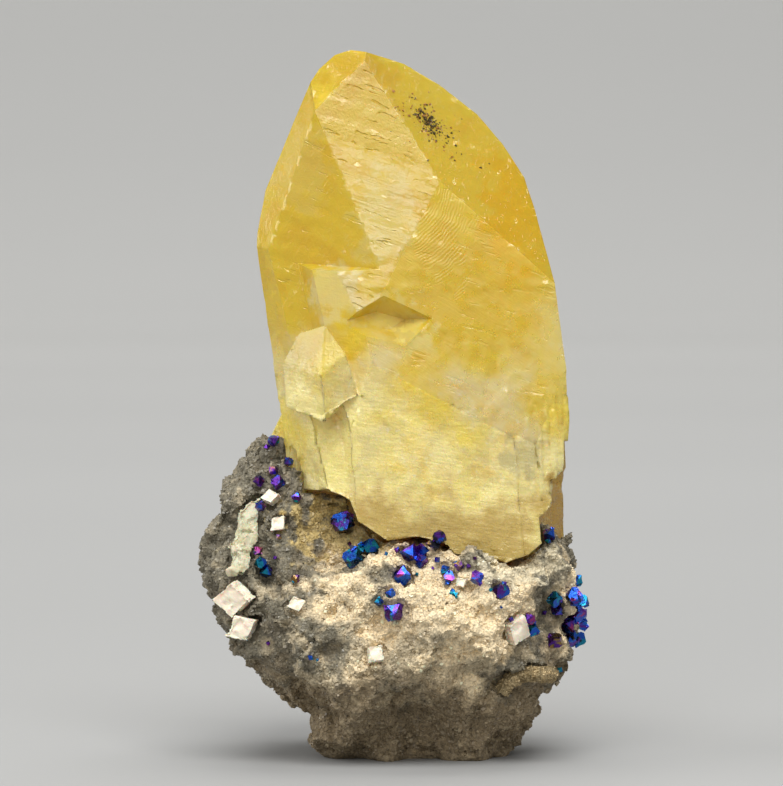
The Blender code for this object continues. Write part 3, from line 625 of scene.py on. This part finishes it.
def crystal_relief(vert):
    """Growth steps and cleavage breaks of the crystal's surface, in metres."""
    p, n = vert.co / MM, vert.normal
    height = 0.05 * noise.noise(p / 5.0) + 0.03 * noise.noise(p / 1.4)
    clouded = cloudiness(p)
    if clouded > 0:
        broken = min(clouded * 1.6, 1) * min(max((UNBROKEN_LEAN - n.z) / 0.1, 0), 1)
        chips = cleavage_steps(p, *BROAD_CHIPS) + cleavage_steps(p + Vector((2, 5, 1)), *NARROW_CHIPS)
        height += broken * chips
    if n.y < -0.7 and p.z > STEPS_ABOVE:
        drop = (p.z * 0.94 + p.x * 0.34 + 1.6 * noise.noise(p / 6)) / STEP_SPACING
        height += STEP_HEIGHT * (drop - math.floor(drop))
    if n.y < 0:
        height -= SINK_DEPTH * max(0.0, 1 - (p - Vector(SINK_MIDDLE)).length / SINK_REACH)
    if p.x > RIB_EDGE and RIB_LOW < p.z < RIB_HIGH:
        height += RIB_HEIGHT * math.sin(p.x * RIB_PITCH + p.y * RIB_PITCH + noise.noise(p / 3))
    return height * MM


def cloudiness(p):
    """How clouded the crystal is at a point in mm, from 0 at the top to 1 at the foot."""
    height = p.z + CLOUD_WAVER * noise.fractal(p / 9, 1.0, 2.0, 4)
    return min(max((CLOUD_LEVEL + CLOUD_DEPTH / 2 - height) / CLOUD_DEPTH, 0), 1)


def face_direction(name):
    """The outward direction of one of the crystal's front faces."""
    a, b, c = (Vector(p) for p in FRONT_CORNERS[name])
    normal = (b - a).cross(c - a).normalized()
    return -normal if normal.y > 0 else normal


class SPECIMEN_OT_calcite(Operator):
    """Grow the golden calcite crystal, with its growth steps and clouded foot"""

    bl_idname = "specimen.calcite"
    bl_label = "Golden calcite"

    def execute(self, context):
        look = settings("calcite")
        clear = look.clearness
        fine = ((0.22, 14, STRIATION_TILT, 0.014), (0.9, 9, STRIATION_TILT, 0.05))
        crossed = (
            (0.24, 9, STRIATION_TILT + 14, 0.022),
            (0.26, 8, -40, 0.016),
            (1.1, 6, STRIATION_TILT, 0.03),
        )
        faint = ((0.5, 6, STRIATION_TILT, 0.02),)
        slanted = ((0.22, 9, LEFT_TILT, 0.03), (0.9, 7, LEFT_TILT, 0.06))
        finishes = [
            calcite_finish("calcite_striated", clear, 0.12, fine, 0.03, ledges=0.17, dull_top=True),
            calcite_finish("calcite_grained", clear * 0.9, 0.30, crossed, 0.02, ledges=0.03, arcs=0.008),
            calcite_finish("calcite_smooth", clear * 1.08, 0.07, faint),
            calcite_finish("calcite_left", clear, 0.10, slanted, ledges=0.05),
        ]
        for level in range(LEVELS):
            share = level / (LEVELS - 1)
            lines = ((0.35, 5, 8.0, 0.03 + 0.07 * share), (0.3, 6, 86.0, 0.02 + 0.05 * share))
            roughness, grain = 0.12 + 0.14 * share, 0.04 + 0.06 * share
            name = f"calcite_level_{level}"
            finishes.append(calcite_finish(name, clear * (1 - MOST_CLOUD * share), roughness, lines, grain))
        bm = copy_of("calcite_crystal")
        slice_faces(bm, CRYSTAL_LOW, CRYSTAL_HIGH, look.facet_grid)
        bm.normal_update()
        dice = random.Random(17)
        directions = {name: face_direction(name) for name in FRONT_CORNERS}
        places = {"striated": 0, "grained": 1, "smooth": 2, "left": 3}
        for face in bm.faces:
            centre = face.calc_center_median() / MM
            patch = 0.12 * noise.noise(centre / 1.3) + dice.uniform(-0.02, 0.02)
            level = int(min(max(cloudiness(centre) + patch, 0), 0.999) * LEVELS)
            face.material_index = len(places) + level
            for name, direction in directions.items():
                in_reach = level < LEVELS // 2 or name == "grained"
                if in_reach and face.normal.dot(direction) > SAME_DIRECTION:
                    face.material_index = places[name]
        displace(bm, crystal_relief)
        piece = new_piece("golden_calcite", bm, finishes, 12)
        for edge in piece.data.edges:
            if edge.use_edge_sharp:
                middle = sum((piece.data.vertices[i].co for i in edge.vertices), Vector()) / 2
                edge.use_edge_sharp = cloudiness(middle / MM) < WORN_EDGES
        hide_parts("calcite_crystal")
        return {"FINISHED"}


class SPECIMEN_OT_veils(Operator):
    """Put the fracture veils and the dark specks inside the crystal"""

    bl_idname = "specimen.veils"
    bl_label = "Veils and specks"

    def execute(self, context):
        look = settings("calcite")
        dice = random.Random(11)
        tree = tree_of("calcite_crystal")
        veil = Finish("calcite_veil", (0.98, 0.88, 0.50), 0.3)
        veil.set(**{"Transmission Weight": 0.5, "IOR": 1.35})
        veil.colour(veil.blend(veil.noise(1.2, 4), (0.98, 0.88, 0.45), (0.99, 0.95, 0.72)))
        flakes = Crumbs()
        while len(flakes.finishes) < look.veil_count * 6:
            x, y = (dice.uniform(CRYSTAL_LOW[i], CRYSTAL_HIGH[i]) for i in (0, 1))
            z = CRYSTAL_LOW[2] + (CRYSTAL_HIGH[2] - CRYSTAL_LOW[2]) * dice.betavariate(1.2, 3.0)
            point = Vector((x, y, z))
            size = dice.uniform(VEIL_LEAST, VEIL_MOST) * MM
            if not inside(tree, point) or tree.find_nearest(point)[3] < 0.8 * size + VEIL_DEPTH * MM:
                continue
            flat = Vector((size, dice.uniform(0.4, 1.0) * size, VEIL_THICKNESS * MM))
            flakes.block(point, flat, random_turn(dice), 0.3)
        flakes.piece("calcite_veils", (veil.material,), "golden_calcite")

        black = Finish("speck_black", (0.02, 0.015, 0.01), 0.5)
        black.colour(black.blend(black.noise(0.2), (0.03, 0.022, 0.008), (0.09, 0.06, 0.02)))
        rust = Finish("speck_rust", (0.25, 0.09, 0.02), 0.5)
        rust.colour(rust.blend(rust.noise(0.2), (0.42, 0.19, 0.03), (0.20, 0.09, 0.015)))
        black.set(**{"Specular IOR Level": 0.15})
        specks = Crumbs()
        for index in range(look.speck_count):
            crowding = 0.62 if index % 3 else 1.1
            x = dice.gauss(SPECK_MIDDLE[0], SPECK_SPREAD[0] * crowding)
            z = dice.gauss(SPECK_MIDDLE[1], SPECK_SPREAD[1] * crowding) - SPECK_LEAN * (x - SPECK_MIDDLE[0])
            if index % STRAY_SPECKS == 0:
                x, z = x + dice.uniform(-3, 6), z + dice.uniform(-5, 3)
            hit = seen_from_front(tree, x, z)[0]
            if hit is None or tree.find_nearest(hit + Vector((0, 1.5 * MM, 0)))[3] < 0.5 * MM:
                continue
            size = dice.triangular(SPECK_LEAST, SPECK_MOST, SPECK_USUAL) * MM
            place = hit + Vector((0, dice.uniform(-0.05, 0.2) * MM, 0))
            specks.block(place, (size, size, size * 0.7), random_turn(dice), 0.2, int(index % 3 == 0))
        specks.piece("calcite_specks", (black.material, rust.material), "golden_calcite")
        return {"FINISHED"}


# The rock

# Patches of the rock: middle and reach in mm, share and waver.
TAN_SLOPE = ((1.0, -14.0, 13.0), (13.0, 16.0, 6.0), 0.45, 0.5)
TERRACE = ((6.8, -13.0, 18.0), (16.8, 22.0, 10.5), 1.0, 0.5)
# Painted light: the hollow under the crystal keeps a brown tone but is painted lighter than the grey around it,
# against the crystal's shadow.
HOLLOW = ((-6.4, -9.0, 27.0), (7.0, 9.0, 4.2), 0.85, 0.5)
RIGHT_BAND = ((14.0, -9.0, 22.5), (6.5, 9.0, 2.6), 0.8, 0.4)
HOLLOW_TINT = (0.70, 0.64, 0.38)
BAND_BRIGHTNESS = 4.4
# The rock turns dark between these heights.
FOOT_TOP, FOOT_FULL, FOOT_WAVER, FOOT_SHARE = 12.5, 6.5, 3.0, 0.75
# The flat foot that the specimen stands on keeps its form up to this height.
FLAT_FOOT = 0.8
# Depth of the crevices as a multiple of the lumps, and how narrow they are.
CREVICE_DEPTH, CREVICE_WIDTH = 3.6, 0.08


# Each kind of grain: brightness, roughness and how common it is.
GRAINS = {
    "grain_plain": (1.05, 0.45, 10),
    "grain_bright": (1.12, 0.35, 5),
    "grain_dull": (0.72, 0.4, 4),
    "grain_white": (1.6, 0.3, 0.8),
}


def rock_colour(finish, brightness=1.0):
    """Sugary tan terrace, grey weathered sides, brown hollows lightened with painted light, a dark foot, and
    small spots of painted shade in the pits.
    """
    look = settings("rock")
    shades = (look.tan, look.grey, look.dark)
    tan, grey, dark = (tuple(min(c * brightness, 1) for c in shade) for shade in shades)
    base = finish.blend(finish.near(*TAN_SLOPE), grey, tan)
    base = finish.blend(finish.near(*TERRACE), base, tan)
    base = finish.blend(finish.near(*HOLLOW), base, tuple(c * s for c, s in zip(tan, HOLLOW_TINT)))
    base = finish.blend(finish.near(*RIGHT_BAND), base, tuple(min(c * BAND_BRIGHTNESS, 1) for c in grey))
    waver = finish.span(finish.noise(4, 5), 0.3, 0.7, -FOOT_WAVER * MM, FOOT_WAVER * MM)
    low = finish.span(finish.sum(finish.axis("Z"), waver), FOOT_TOP * MM, FOOT_FULL * MM)
    base = finish.blend(finish.sum(low, FOOT_SHARE, "MULTIPLY"), base, dark)
    stains = tuple(c * 0.6 for c in dark)
    frost = tuple(min(c * 1.05, 0.9) for c in tan)
    # Painted shade: very dark spots stand in for the shadow in the rock's small pits.
    painted_pit_shade = tuple(c * 0.35 for c in dark)
    base = finish.stain(base, stains, 0.26, (3.1, 7, 0.8), 0.50, 0.66)
    base = finish.stain(base, frost, 0.28, (1.3, 6, 0.5), 0.52, 0.72)
    return finish.stain(base, painted_pit_shade, 0.45, (0.7, 5, 0.4), 0.58, 0.70)


def rock_finish():
    """The dolostone itself."""
    finish = Finish("dolostone", settings("rock").grey, 0.8)
    speckle = finish.span(finish.noise(0.28, 3), 0.35, 0.65, 0.78, 1.20)
    finish.colour(finish.scaled(rock_colour(finish), speckle))
    finish.rough(finish.span(finish.cells(0.4), 0.1, 0.6, 0.4, 0.9))
    finish.bump(finish.noise(0.8, 6), 0.35)
    finish.bump(finish.cells(0.38), 0.16)
    return finish.material


def grain_finish(name, brightness, roughness):
    """Loose dolomite grains, in the colour of the rock beneath them."""
    finish = Finish(name, settings("rock").grey, roughness)
    finish.colour(rock_colour(finish, brightness))
    finish.set(**{"Specular IOR Level": 0.65})
    return finish.material


def rock_relief(vert):
    """Lumps, chips and cracks of the broken rock, in metres."""
    p = vert.co / MM
    if p.z < FLAT_FOOT:
        return 0.0
    lumps = 1.1 * noise.fractal(p / 2.8, 0.9, 2.2, 5)
    chips = chipped(p, 2.1, 1.0, 0.5) + chipped(p + Vector((3, 1, 2)), 0.95, 0.7, 0.5) - 0.85
    crack = abs(noise.fractal(p / 6 + Vector((2, 9, 4)), 0.8, 2.0, 3))
    broken = max(0.0, noise.noise(p / 5 + Vector((1, 2, 3))) + 0.25)
    crevice = CREVICE_DEPTH * max(0.0, 1 - crack / CREVICE_WIDTH) * broken
    return (lumps + chips - crevice) * settings("rock").lump_height


class SPECIMEN_OT_rock(Operator):
    """Break out the dolostone and cover it with dolomite grains"""

    bl_idname = "specimen.rock"
    bl_label = "Dolostone"

    def execute(self, context):
        look = settings("rock")
        bm = remeshed(copy_of("dolostone_matrix"), look.voxel)
        displace(bm, rock_relief)
        for vert in bm.verts:
            vert.co.z = max(vert.co.z, 0.0)
        spots = rock_spots(bm, look.grain_count * 2)
        piece = new_piece("dolostone", bm, (rock_finish(),), 50)
        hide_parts("dolostone_matrix")

        finishes = [grain_finish(name, *values[:2]) for name, values in GRAINS.items()]
        shares = [values[2] for values in GRAINS.values()]
        dice = random.Random(5)
        grains, sand = Crumbs(), Crumbs()
        for index, (place, normal) in enumerate(spots):
            size = dice.triangular(0.45, 1.5, 0.7) if index % 2 else dice.uniform(0.35, 0.7)
            size *= look.grain_size
            kind = dice.choices(range(len(finishes)), weights=shares)[0]
            shape = (size, size * dice.uniform(0.6, 1.0), size * 0.8)
            heap = grains if index % 2 else sand
            heap.block(place - normal * 0.15 * size, shape, random_turn(dice), 0.3, kind)
        grains.piece("dolostone_grains", finishes, "grey_dolostone")
        sand.piece("dolostone_sand", finishes, "grey_dolostone")
        return {"FINISHED"}


def rock_spots(bm, count):
    """Places on the rock's open surface, evenly spread, clear of the crystal's socket and the underside."""
    dice = random.Random(3)
    crystal = tree_of("calcite_crystal")
    faces = [f for f in bm.faces if f.calc_center_median().z > 0.6 * MM]
    spots = []
    weights = [f.calc_area() * (1.8 if f.normal.y < 0 else 1.0) for f in faces]
    for face in dice.choices(faces, weights=weights, k=count * 2):
        place = face.calc_center_median()
        if crystal.find_nearest(place)[3] < 0.7 * MM or inside(crystal, place):
            continue
        spots.append((place, face.normal.copy()))
        if len(spots) >= count:
            break
    return spots


# The small crystals

# The smallest crystals on the rock: x, z and radius in mm, seen from the front.
EXTRA_CHALCOPYRITE = (
    (-13.0, 25.8, 0.42), (-14.1, 14.2, 0.34), (-9.3, 12.9, 0.42), (-8.6, 12.6, 0.26), (17.2, 16.9, 0.38),
    (18.9, 10.4, 0.40), (-14.5, 35.6, 0.42), (-13.4, 23.5, 0.30), (10.9, 20.3, 0.32), (12.8, 20.4, 0.34),
    (15.0, 17.0, 0.40), (13.2, 16.9, 0.36), (16.0, 16.2, 0.34), (12.1, 18.4, 0.22), (20.6, 19.8, 0.36),
    (-5.0, 24.8, 0.30), (9.2, 23.8, 0.30), (6.2, 21.0, 0.36), (-14.0, 34.2, 0.30), (2.6, 22.0, 0.28),
    (-2.2, 25.0, 0.40), (0.4, 24.6, 0.42), (3.6, 24.0, 0.36), (5.0, 23.6, 0.42), (7.0, 23.2, 0.34),
    (8.5, 22.9, 0.38), (9.2, 21.6, 0.30), (-0.8, 24.2, 0.30), (17.6, 25.0, 0.40), (4.4, 22.6, 0.26),
)
# Each tarnish is a colour that drifts to two others, and has a weight for how common it is.
TARNISHES = {
    "blue": ("violet", "teal", 5),
    "violet": ("blue", "magenta", 4),
    "teal": ("blue", "black", 3),
    "magenta": ("violet", "bronze", 1.2),
    "bronze": ("violet", "black", 1.2),
    "black": ("violet", "blue", 1),
}
# The tarnish of crystals that the front view shows well.
TARNISH_SEEN = {
    "hollow_1": "blue", "hollow_2": "teal", "hollow_3": "teal", "right_edge_1": "violet",
    "crystal_foot_1": "violet", "crystal_foot_2": "black", "terrace_1": "violet", "terrace_4": "blue",
    "terrace_9": "blue", "terrace_10": "magenta", "terrace_11": "magenta",
}
# Small crystals grown on each larger one, and how far out they sit.
SATELLITES = 4
SATELLITE_SEAT = 0.72


def tarnish(name, first, second, third):
    """Tarnished chalcopyrite: metal whose colour drifts from face to face."""
    finish = Finish(name, first, 0.24, 1.0)
    drift = finish.noise(1.3, 2, 0.4)
    base = finish.blend(finish.span(drift, 0.42, 0.56), first, second)
    far = finish.noise(0.8, 2)
    base = finish.blend(finish.span(far, 0.55, 0.68), base, third)
    finish.colour(base)
    finish.rough(finish.span(finish.noise(0.3, 3), 0.3, 0.7, 0.16, 0.42))
    finish.bump(finish.noise(0.35, 3), 0.03)
    return finish.material


class SPECIMEN_OT_chalcopyrite(Operator):
    """Tarnish the chalcopyrite crystals and add the smallest ones"""

    bl_idname = "specimen.chalcopyrite"
    bl_label = "Chalcopyrite"

    def execute(self, context):
        look = settings("metal")
        finishes = []
        for name, (second, third, _) in TARNISHES.items():
            shades = (tuple(getattr(look, shade)) for shade in (name, second, third))
            finishes.append(tarnish(f"tarnish_{name}", *shades))
        kinds = list(TARNISHES)
        commonness = [common for _, _, common in TARNISHES.values()]
        dice = random.Random(23)
        satellites = Crumbs()
        for node in frame["nodes"].values():
            if not node.name.startswith("chalcopyrite"):
                continue
            drawn = dice.choices(kinds, weights=commonness)[0]
            kind = kinds.index(TARNISH_SEEN.get(node.name.removeprefix("chalcopyrite_"), drawn))
            node.data.materials.clear()
            node.data.materials.append(finishes[kind])
            corners = [v.co.copy() for v in node.data.vertices]
            middle = sum(corners, Vector()) / len(corners)
            for _ in range(SATELLITES):
                corner = dice.choice(corners)
                size = dice.uniform(0.28, 0.5) * (corner - middle).length
                place = middle + (corner - middle) * SATELLITE_SEAT
                other = dice.choice((kind, kind, dice.randrange(len(finishes))))
                satellites.spindle(place, (size, size, size), random_turn(dice), other)
        rock = tree_of("dolostone_matrix")
        for x, z, radius in EXTRA_CHALCOPYRITE:
            place, normal, _, _ = seen_from_front(rock, x, z)
            if place is None:
                continue
            size = radius * MM
            place += normal * 0.3 * size
            satellites.spindle(place, (size, size, size), random_turn(dice), dice.randrange(len(finishes)))
        satellites.piece("smallest_chalcopyrite", finishes, "tarnished_chalcopyrite")
        return {"FINISHED"}


DOLOMITE_WHITE = (0.87, 0.78, 0.62)
SEAM_WHITE = (0.61, 0.58, 0.42)
CRUST_GOLD = (0.52, 0.40, 0.22)
# Spacing in mm of the points on the rhombs, the seam and the crust.
RHOMB_GRID, SEAM_CELL, CRUST_CELL = 0.2, 0.22, 0.2
CRUST_BLADES = 700
BLADE_LEAST, BLADE_MOST = 0.12, 0.24


def rhomb_relief(vert):
    """Cleavage steps and worn edges of a dolomite rhomb, in metres."""
    p = vert.co / MM
    steps = chipped(p, 1.1, 0.16, 0.12) - 0.10
    wear = 0.10 * noise.noise(p / 0.7) + 0.16 * noise.noise(p / 1.7 + Vector((4, 1, 6)))
    return (steps + wear - 0.03) * MM


def seam_relief(vert):
    """Flat chips and a ragged edge on the pale seam, in metres."""
    p = vert.co / MM
    chips = chipped(p, 1.5, 0.34, 0.25) + chipped(p + Vector((5, 2, 8)), 0.7, 0.14, 0.2)
    return (chips - 0.26 + 0.10 * noise.noise(p / 1.1)) * MM


class SPECIMEN_OT_pale(Operator):
    """Finish the dolomite rhombs and the pale seam"""

    bl_idname = "specimen.pale"
    bl_label = "Pale minerals"

    def execute(self, context):
        look = settings("pale")
        pearl = Finish("dolomite_pearl", look.dolomite, 0.4)
        cloudy = pearl.span(pearl.noise(1.1, 5), 0.38, 0.62)
        pearl.colour(pearl.blend(cloudy, look.dolomite, DOLOMITE_WHITE))
        pearl.set(**{"Subsurface Weight": 0.35, "Subsurface Scale": 0.8 * MM})
        pearl.bump(pearl.streaks(0.25, 6, 30), 0.06)
        pearl.bump(pearl.noise(0.5, 4), 0.06)
        names = sorted(n.name for n in frame["nodes"].values() if n.name.startswith("dolomite"))
        rhombs = bmesh.new()
        for name in names:
            bm = copy_of(name)
            slice_faces(bm, *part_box(name), RHOMB_GRID * MM)
            displace(bm, rhomb_relief)
            mesh = mesh_of(name, bm)
            rhombs.from_mesh(mesh)
            bpy.data.meshes.remove(mesh)
        piece = new_piece("dolomite_crystals", rhombs, (pearl.material,), 25)
        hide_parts(*names)

        seam = Finish("seam_pale", look.seam, 0.6)
        seam.colour(seam.blend(seam.span(seam.noise(1.4, 5), 0.42, 0.62), look.seam, SEAM_WHITE))
        seam.set(**{"Subsurface Weight": 0.3, "Subsurface Scale": 0.8 * MM})
        seam.bump(seam.noise(0.6, 5), 0.15)
        bm = remeshed(copy_of("pale_calcite_seam"), SEAM_CELL * MM)
        displace(bm, seam_relief)
        piece = new_piece("pale_seam", bm, (seam.material,), 25)
        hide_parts("pale_calcite_seam")
        return {"FINISHED"}


class SPECIMEN_OT_marcasite(Operator):
    """Cover the curved crust with small marcasite blades"""

    bl_idname = "specimen.marcasite"
    bl_label = "Marcasite crust"

    def execute(self, context):
        colour = tuple(settings("metal").marcasite)
        crust = Finish("marcasite", colour, 0.45, 0.55)
        crust.colour(crust.blend(crust.span(crust.noise(0.8, 4), 0.4, 0.6), colour, CRUST_GOLD))
        crust.bump(crust.cells(0.3), 0.15)
        bm = remeshed(copy_of("marcasite_crust"), CRUST_CELL * MM)
        displace(bm, lambda v: 0.12 * MM * noise.noise(v.co / MM / 0.7))
        dice = random.Random(31)
        faces = list(bm.faces)
        blades = Crumbs()
        for face in dice.choices(faces, weights=[f.calc_area() for f in faces], k=CRUST_BLADES):
            size = dice.uniform(BLADE_LEAST, BLADE_MOST) * MM
            place = face.calc_center_median() + face.normal * 0.1 * size
            blades.block(place, (size, size * 0.5, size), random_turn(dice))
        blades.piece("marcasite_blades", (crust.material,), "bronze_marcasite")
        piece = new_piece("marcasite_base", bm, (crust.material,), 40)
        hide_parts("marcasite_crust")
        return {"FINISHED"}


# The stage

# What the camera sees across, from how far and about which middle, in mm.
VIEW_WIDTH = 90.0
VIEW_DISTANCE = 700.0
VIEW_MIDDLE = (-0.23, 0.0, 41.6)
SENSOR_WIDTH = 36.0
CLIP_END = 10.0
LIGHT_DISTANCE = 650.0
LIGHT_AIM = (0, 0, 50)
# Each light: its setting, azimuth and elevation in degrees, and size in mm.
LIGHTS = {
    "overhead": ("overhead", 165, 66, (620, 480)),
    "high_front": ("high_front", 4, 60, (520, 300)),
    "front_panel": ("front", -8, 29, (330, 150)),
    "left_panel": ("left", -84, 24, (480, 480)),
}
SKY_COLOUR = (1.0, 0.99, 0.97, 1.0)
MOST_BOUNCES = 10
MOST_TRANSMISSIONS = 9
# The paper reaches this far each way and bends up behind the crystal, in mm.
PAPER_REACH = 1500.0
BEND_START = 780.0
BEND = 240.0
BEND_STEPS = 8
# Painted light and shade on the paper, brighter with distance and darker on the bend: from and to in mm along
# y, and how much brighter it turns there.
PAPER_PAINTED_LIGHT = (
    (20.0, 260.0, 0.09),
    (140.0, 400.0, 0.16),
    (260.0, 520.0, 0.216),
    (400.0, 640.0, 0.305),
    (520.0, 740.0, 0.37),
    (640.0, 800.0, 0.285),
    (800.0, 970.0, -0.29),
)


def area_light(name, azimuth, elevation, size, radiance):
    """A soft rectangular light that faces the crystal. Azimuth 0 is the front and 90 the right."""
    turn, rise = math.radians(azimuth), math.radians(elevation)
    aim = Vector((math.sin(turn) * math.cos(rise), -math.cos(turn) * math.cos(rise), math.sin(rise)))
    light = bpy.data.lights.new(name, "AREA")
    light.shape = "RECTANGLE"
    light.size, light.size_y = size[0] * MM, size[1] * MM
    light.energy = radiance * math.pi * light.size * light.size_y
    lamp = placed(name, light)
    lamp.location = (Vector(LIGHT_AIM) + aim * LIGHT_DISTANCE) * MM
    lamp.rotation_euler = aim.to_track_quat("Z", "Y").to_euler()


class SPECIMEN_OT_stage(Operator):
    """Set up the paper backdrop, the soft lights and the camera"""

    bl_idname = "specimen.stage"
    bl_label = "Stage"

    def execute(self, context):
        look = settings("stage")
        paper = Finish("paper", look.paper, 0.9)
        # Painted light and shade: the paper's colour is brightened, then darkened, along y.
        fade = 1.0
        for start, end, rise in PAPER_PAINTED_LIGHT:
            rise_here = paper.span(paper.axis("Y"), start * MM, end * MM, 0.0, rise * look.paper_painted_light)
            fade = paper.sum(rise_here, fade)
        paper.colour(paper.scaled(look.paper[:3], fade))
        bm = bmesh.new()
        turns = [math.pi / 2 * step / BEND_STEPS for step in range(BEND_STEPS + 1)]
        bend = [(BEND_START + BEND * math.sin(a), BEND - BEND * math.cos(a)) for a in turns]
        profile = [(-PAPER_REACH, 0.0), *bend, (BEND_START + BEND, PAPER_REACH)]
        sides = (-PAPER_REACH, PAPER_REACH)
        rows = [[bm.verts.new(Vector((x, y, z)) * MM) for x in sides] for y, z in profile]
        for a, b in zip(rows, rows[1:]):
            bm.faces.new((a[0], a[1], b[1], b[0]))
        mesh = mesh_of("paper_sweep", bm)
        mesh.materials.append(paper.material)
        mesh.shade_smooth()
        placed("paper_sweep", mesh)

        for name, (setting, azimuth, elevation, size) in LIGHTS.items():
            area_light(name, azimuth, elevation, size, getattr(look, setting))
        world = bpy.data.worlds.new("soft_sky")
        world.use_nodes = True
        background = world.node_tree.nodes["Background"]
        background.inputs["Color"].default_value = SKY_COLOUR
        background.inputs["Strength"].default_value = look.sky
        context.scene.world = world

        camera = bpy.data.cameras.new("camera")
        camera.sensor_fit = "HORIZONTAL"
        camera.sensor_width = SENSOR_WIDTH
        camera.lens = SENSOR_WIDTH * VIEW_DISTANCE / VIEW_WIDTH
        camera.clip_end = CLIP_END
        eye = placed("camera", camera)
        angle = look.view_height
        back = Vector((0, -math.cos(angle), math.sin(angle)))
        eye.location = (Vector(VIEW_MIDDLE) + back * VIEW_DISTANCE) * MM
        eye.rotation_euler = (-back).to_track_quat("-Z", "Y").to_euler()
        context.scene.camera = eye
        context.scene.view_settings.view_transform = "Standard"
        context.scene.cycles.max_bounces = MOST_BOUNCES
        context.scene.cycles.transmission_bounces = MOST_TRANSMISSIONS
        return {"FINISHED"}


class SPECIMEN_PT_panel(Panel):
    """The specimen's steps, in the 3D view's sidebar"""

    bl_label = "Calcite specimen"
    bl_space_type = "VIEW_3D"
    bl_region_type = "UI"
    bl_category = "Specimen"

    def draw(self, context):
        for operator in OPERATORS:
            self.layout.operator(operator.bl_idname)
        for name in SETTINGS:
            group = settings(name)
            box = self.layout.box()
            for field in group.bl_rna.properties:
                if field.identifier not in {"rna_type", "name"}:
                    box.prop(group, field.identifier)


OPERATORS = (
    SPECIMEN_OT_calcite,
    SPECIMEN_OT_veils,
    SPECIMEN_OT_rock,
    SPECIMEN_OT_chalcopyrite,
    SPECIMEN_OT_pale,
    SPECIMEN_OT_marcasite,
    SPECIMEN_OT_stage,
)


def register():
    """Adds the settings, the operators and the panel."""
    for name, group in SETTINGS.items():
        bpy.utils.register_class(group)
        setattr(bpy.types.Scene, "specimen_" + name, PointerProperty(type=group))
    for cls in (*OPERATORS, SPECIMEN_PT_panel):
        bpy.utils.register_class(cls)


def unregister():
    """Removes the panel, the operators and the settings."""
    for cls in reversed((*OPERATORS, SPECIMEN_PT_panel)):
        bpy.utils.unregister_class(cls)
    for name, group in reversed(SETTINGS.items()):
        delattr(bpy.types.Scene, "specimen_" + name)
        bpy.utils.unregister_class(group)


def main():
    """Dresses the whole specimen."""
    register()
    bpy.ops.specimen.calcite()
    bpy.ops.specimen.veils()
    bpy.ops.specimen.rock()
    bpy.ops.specimen.chalcopyrite()
    bpy.ops.specimen.pale()
    bpy.ops.specimen.marcasite()
    bpy.ops.specimen.stage()


if __name__ == "__main__":
    main()
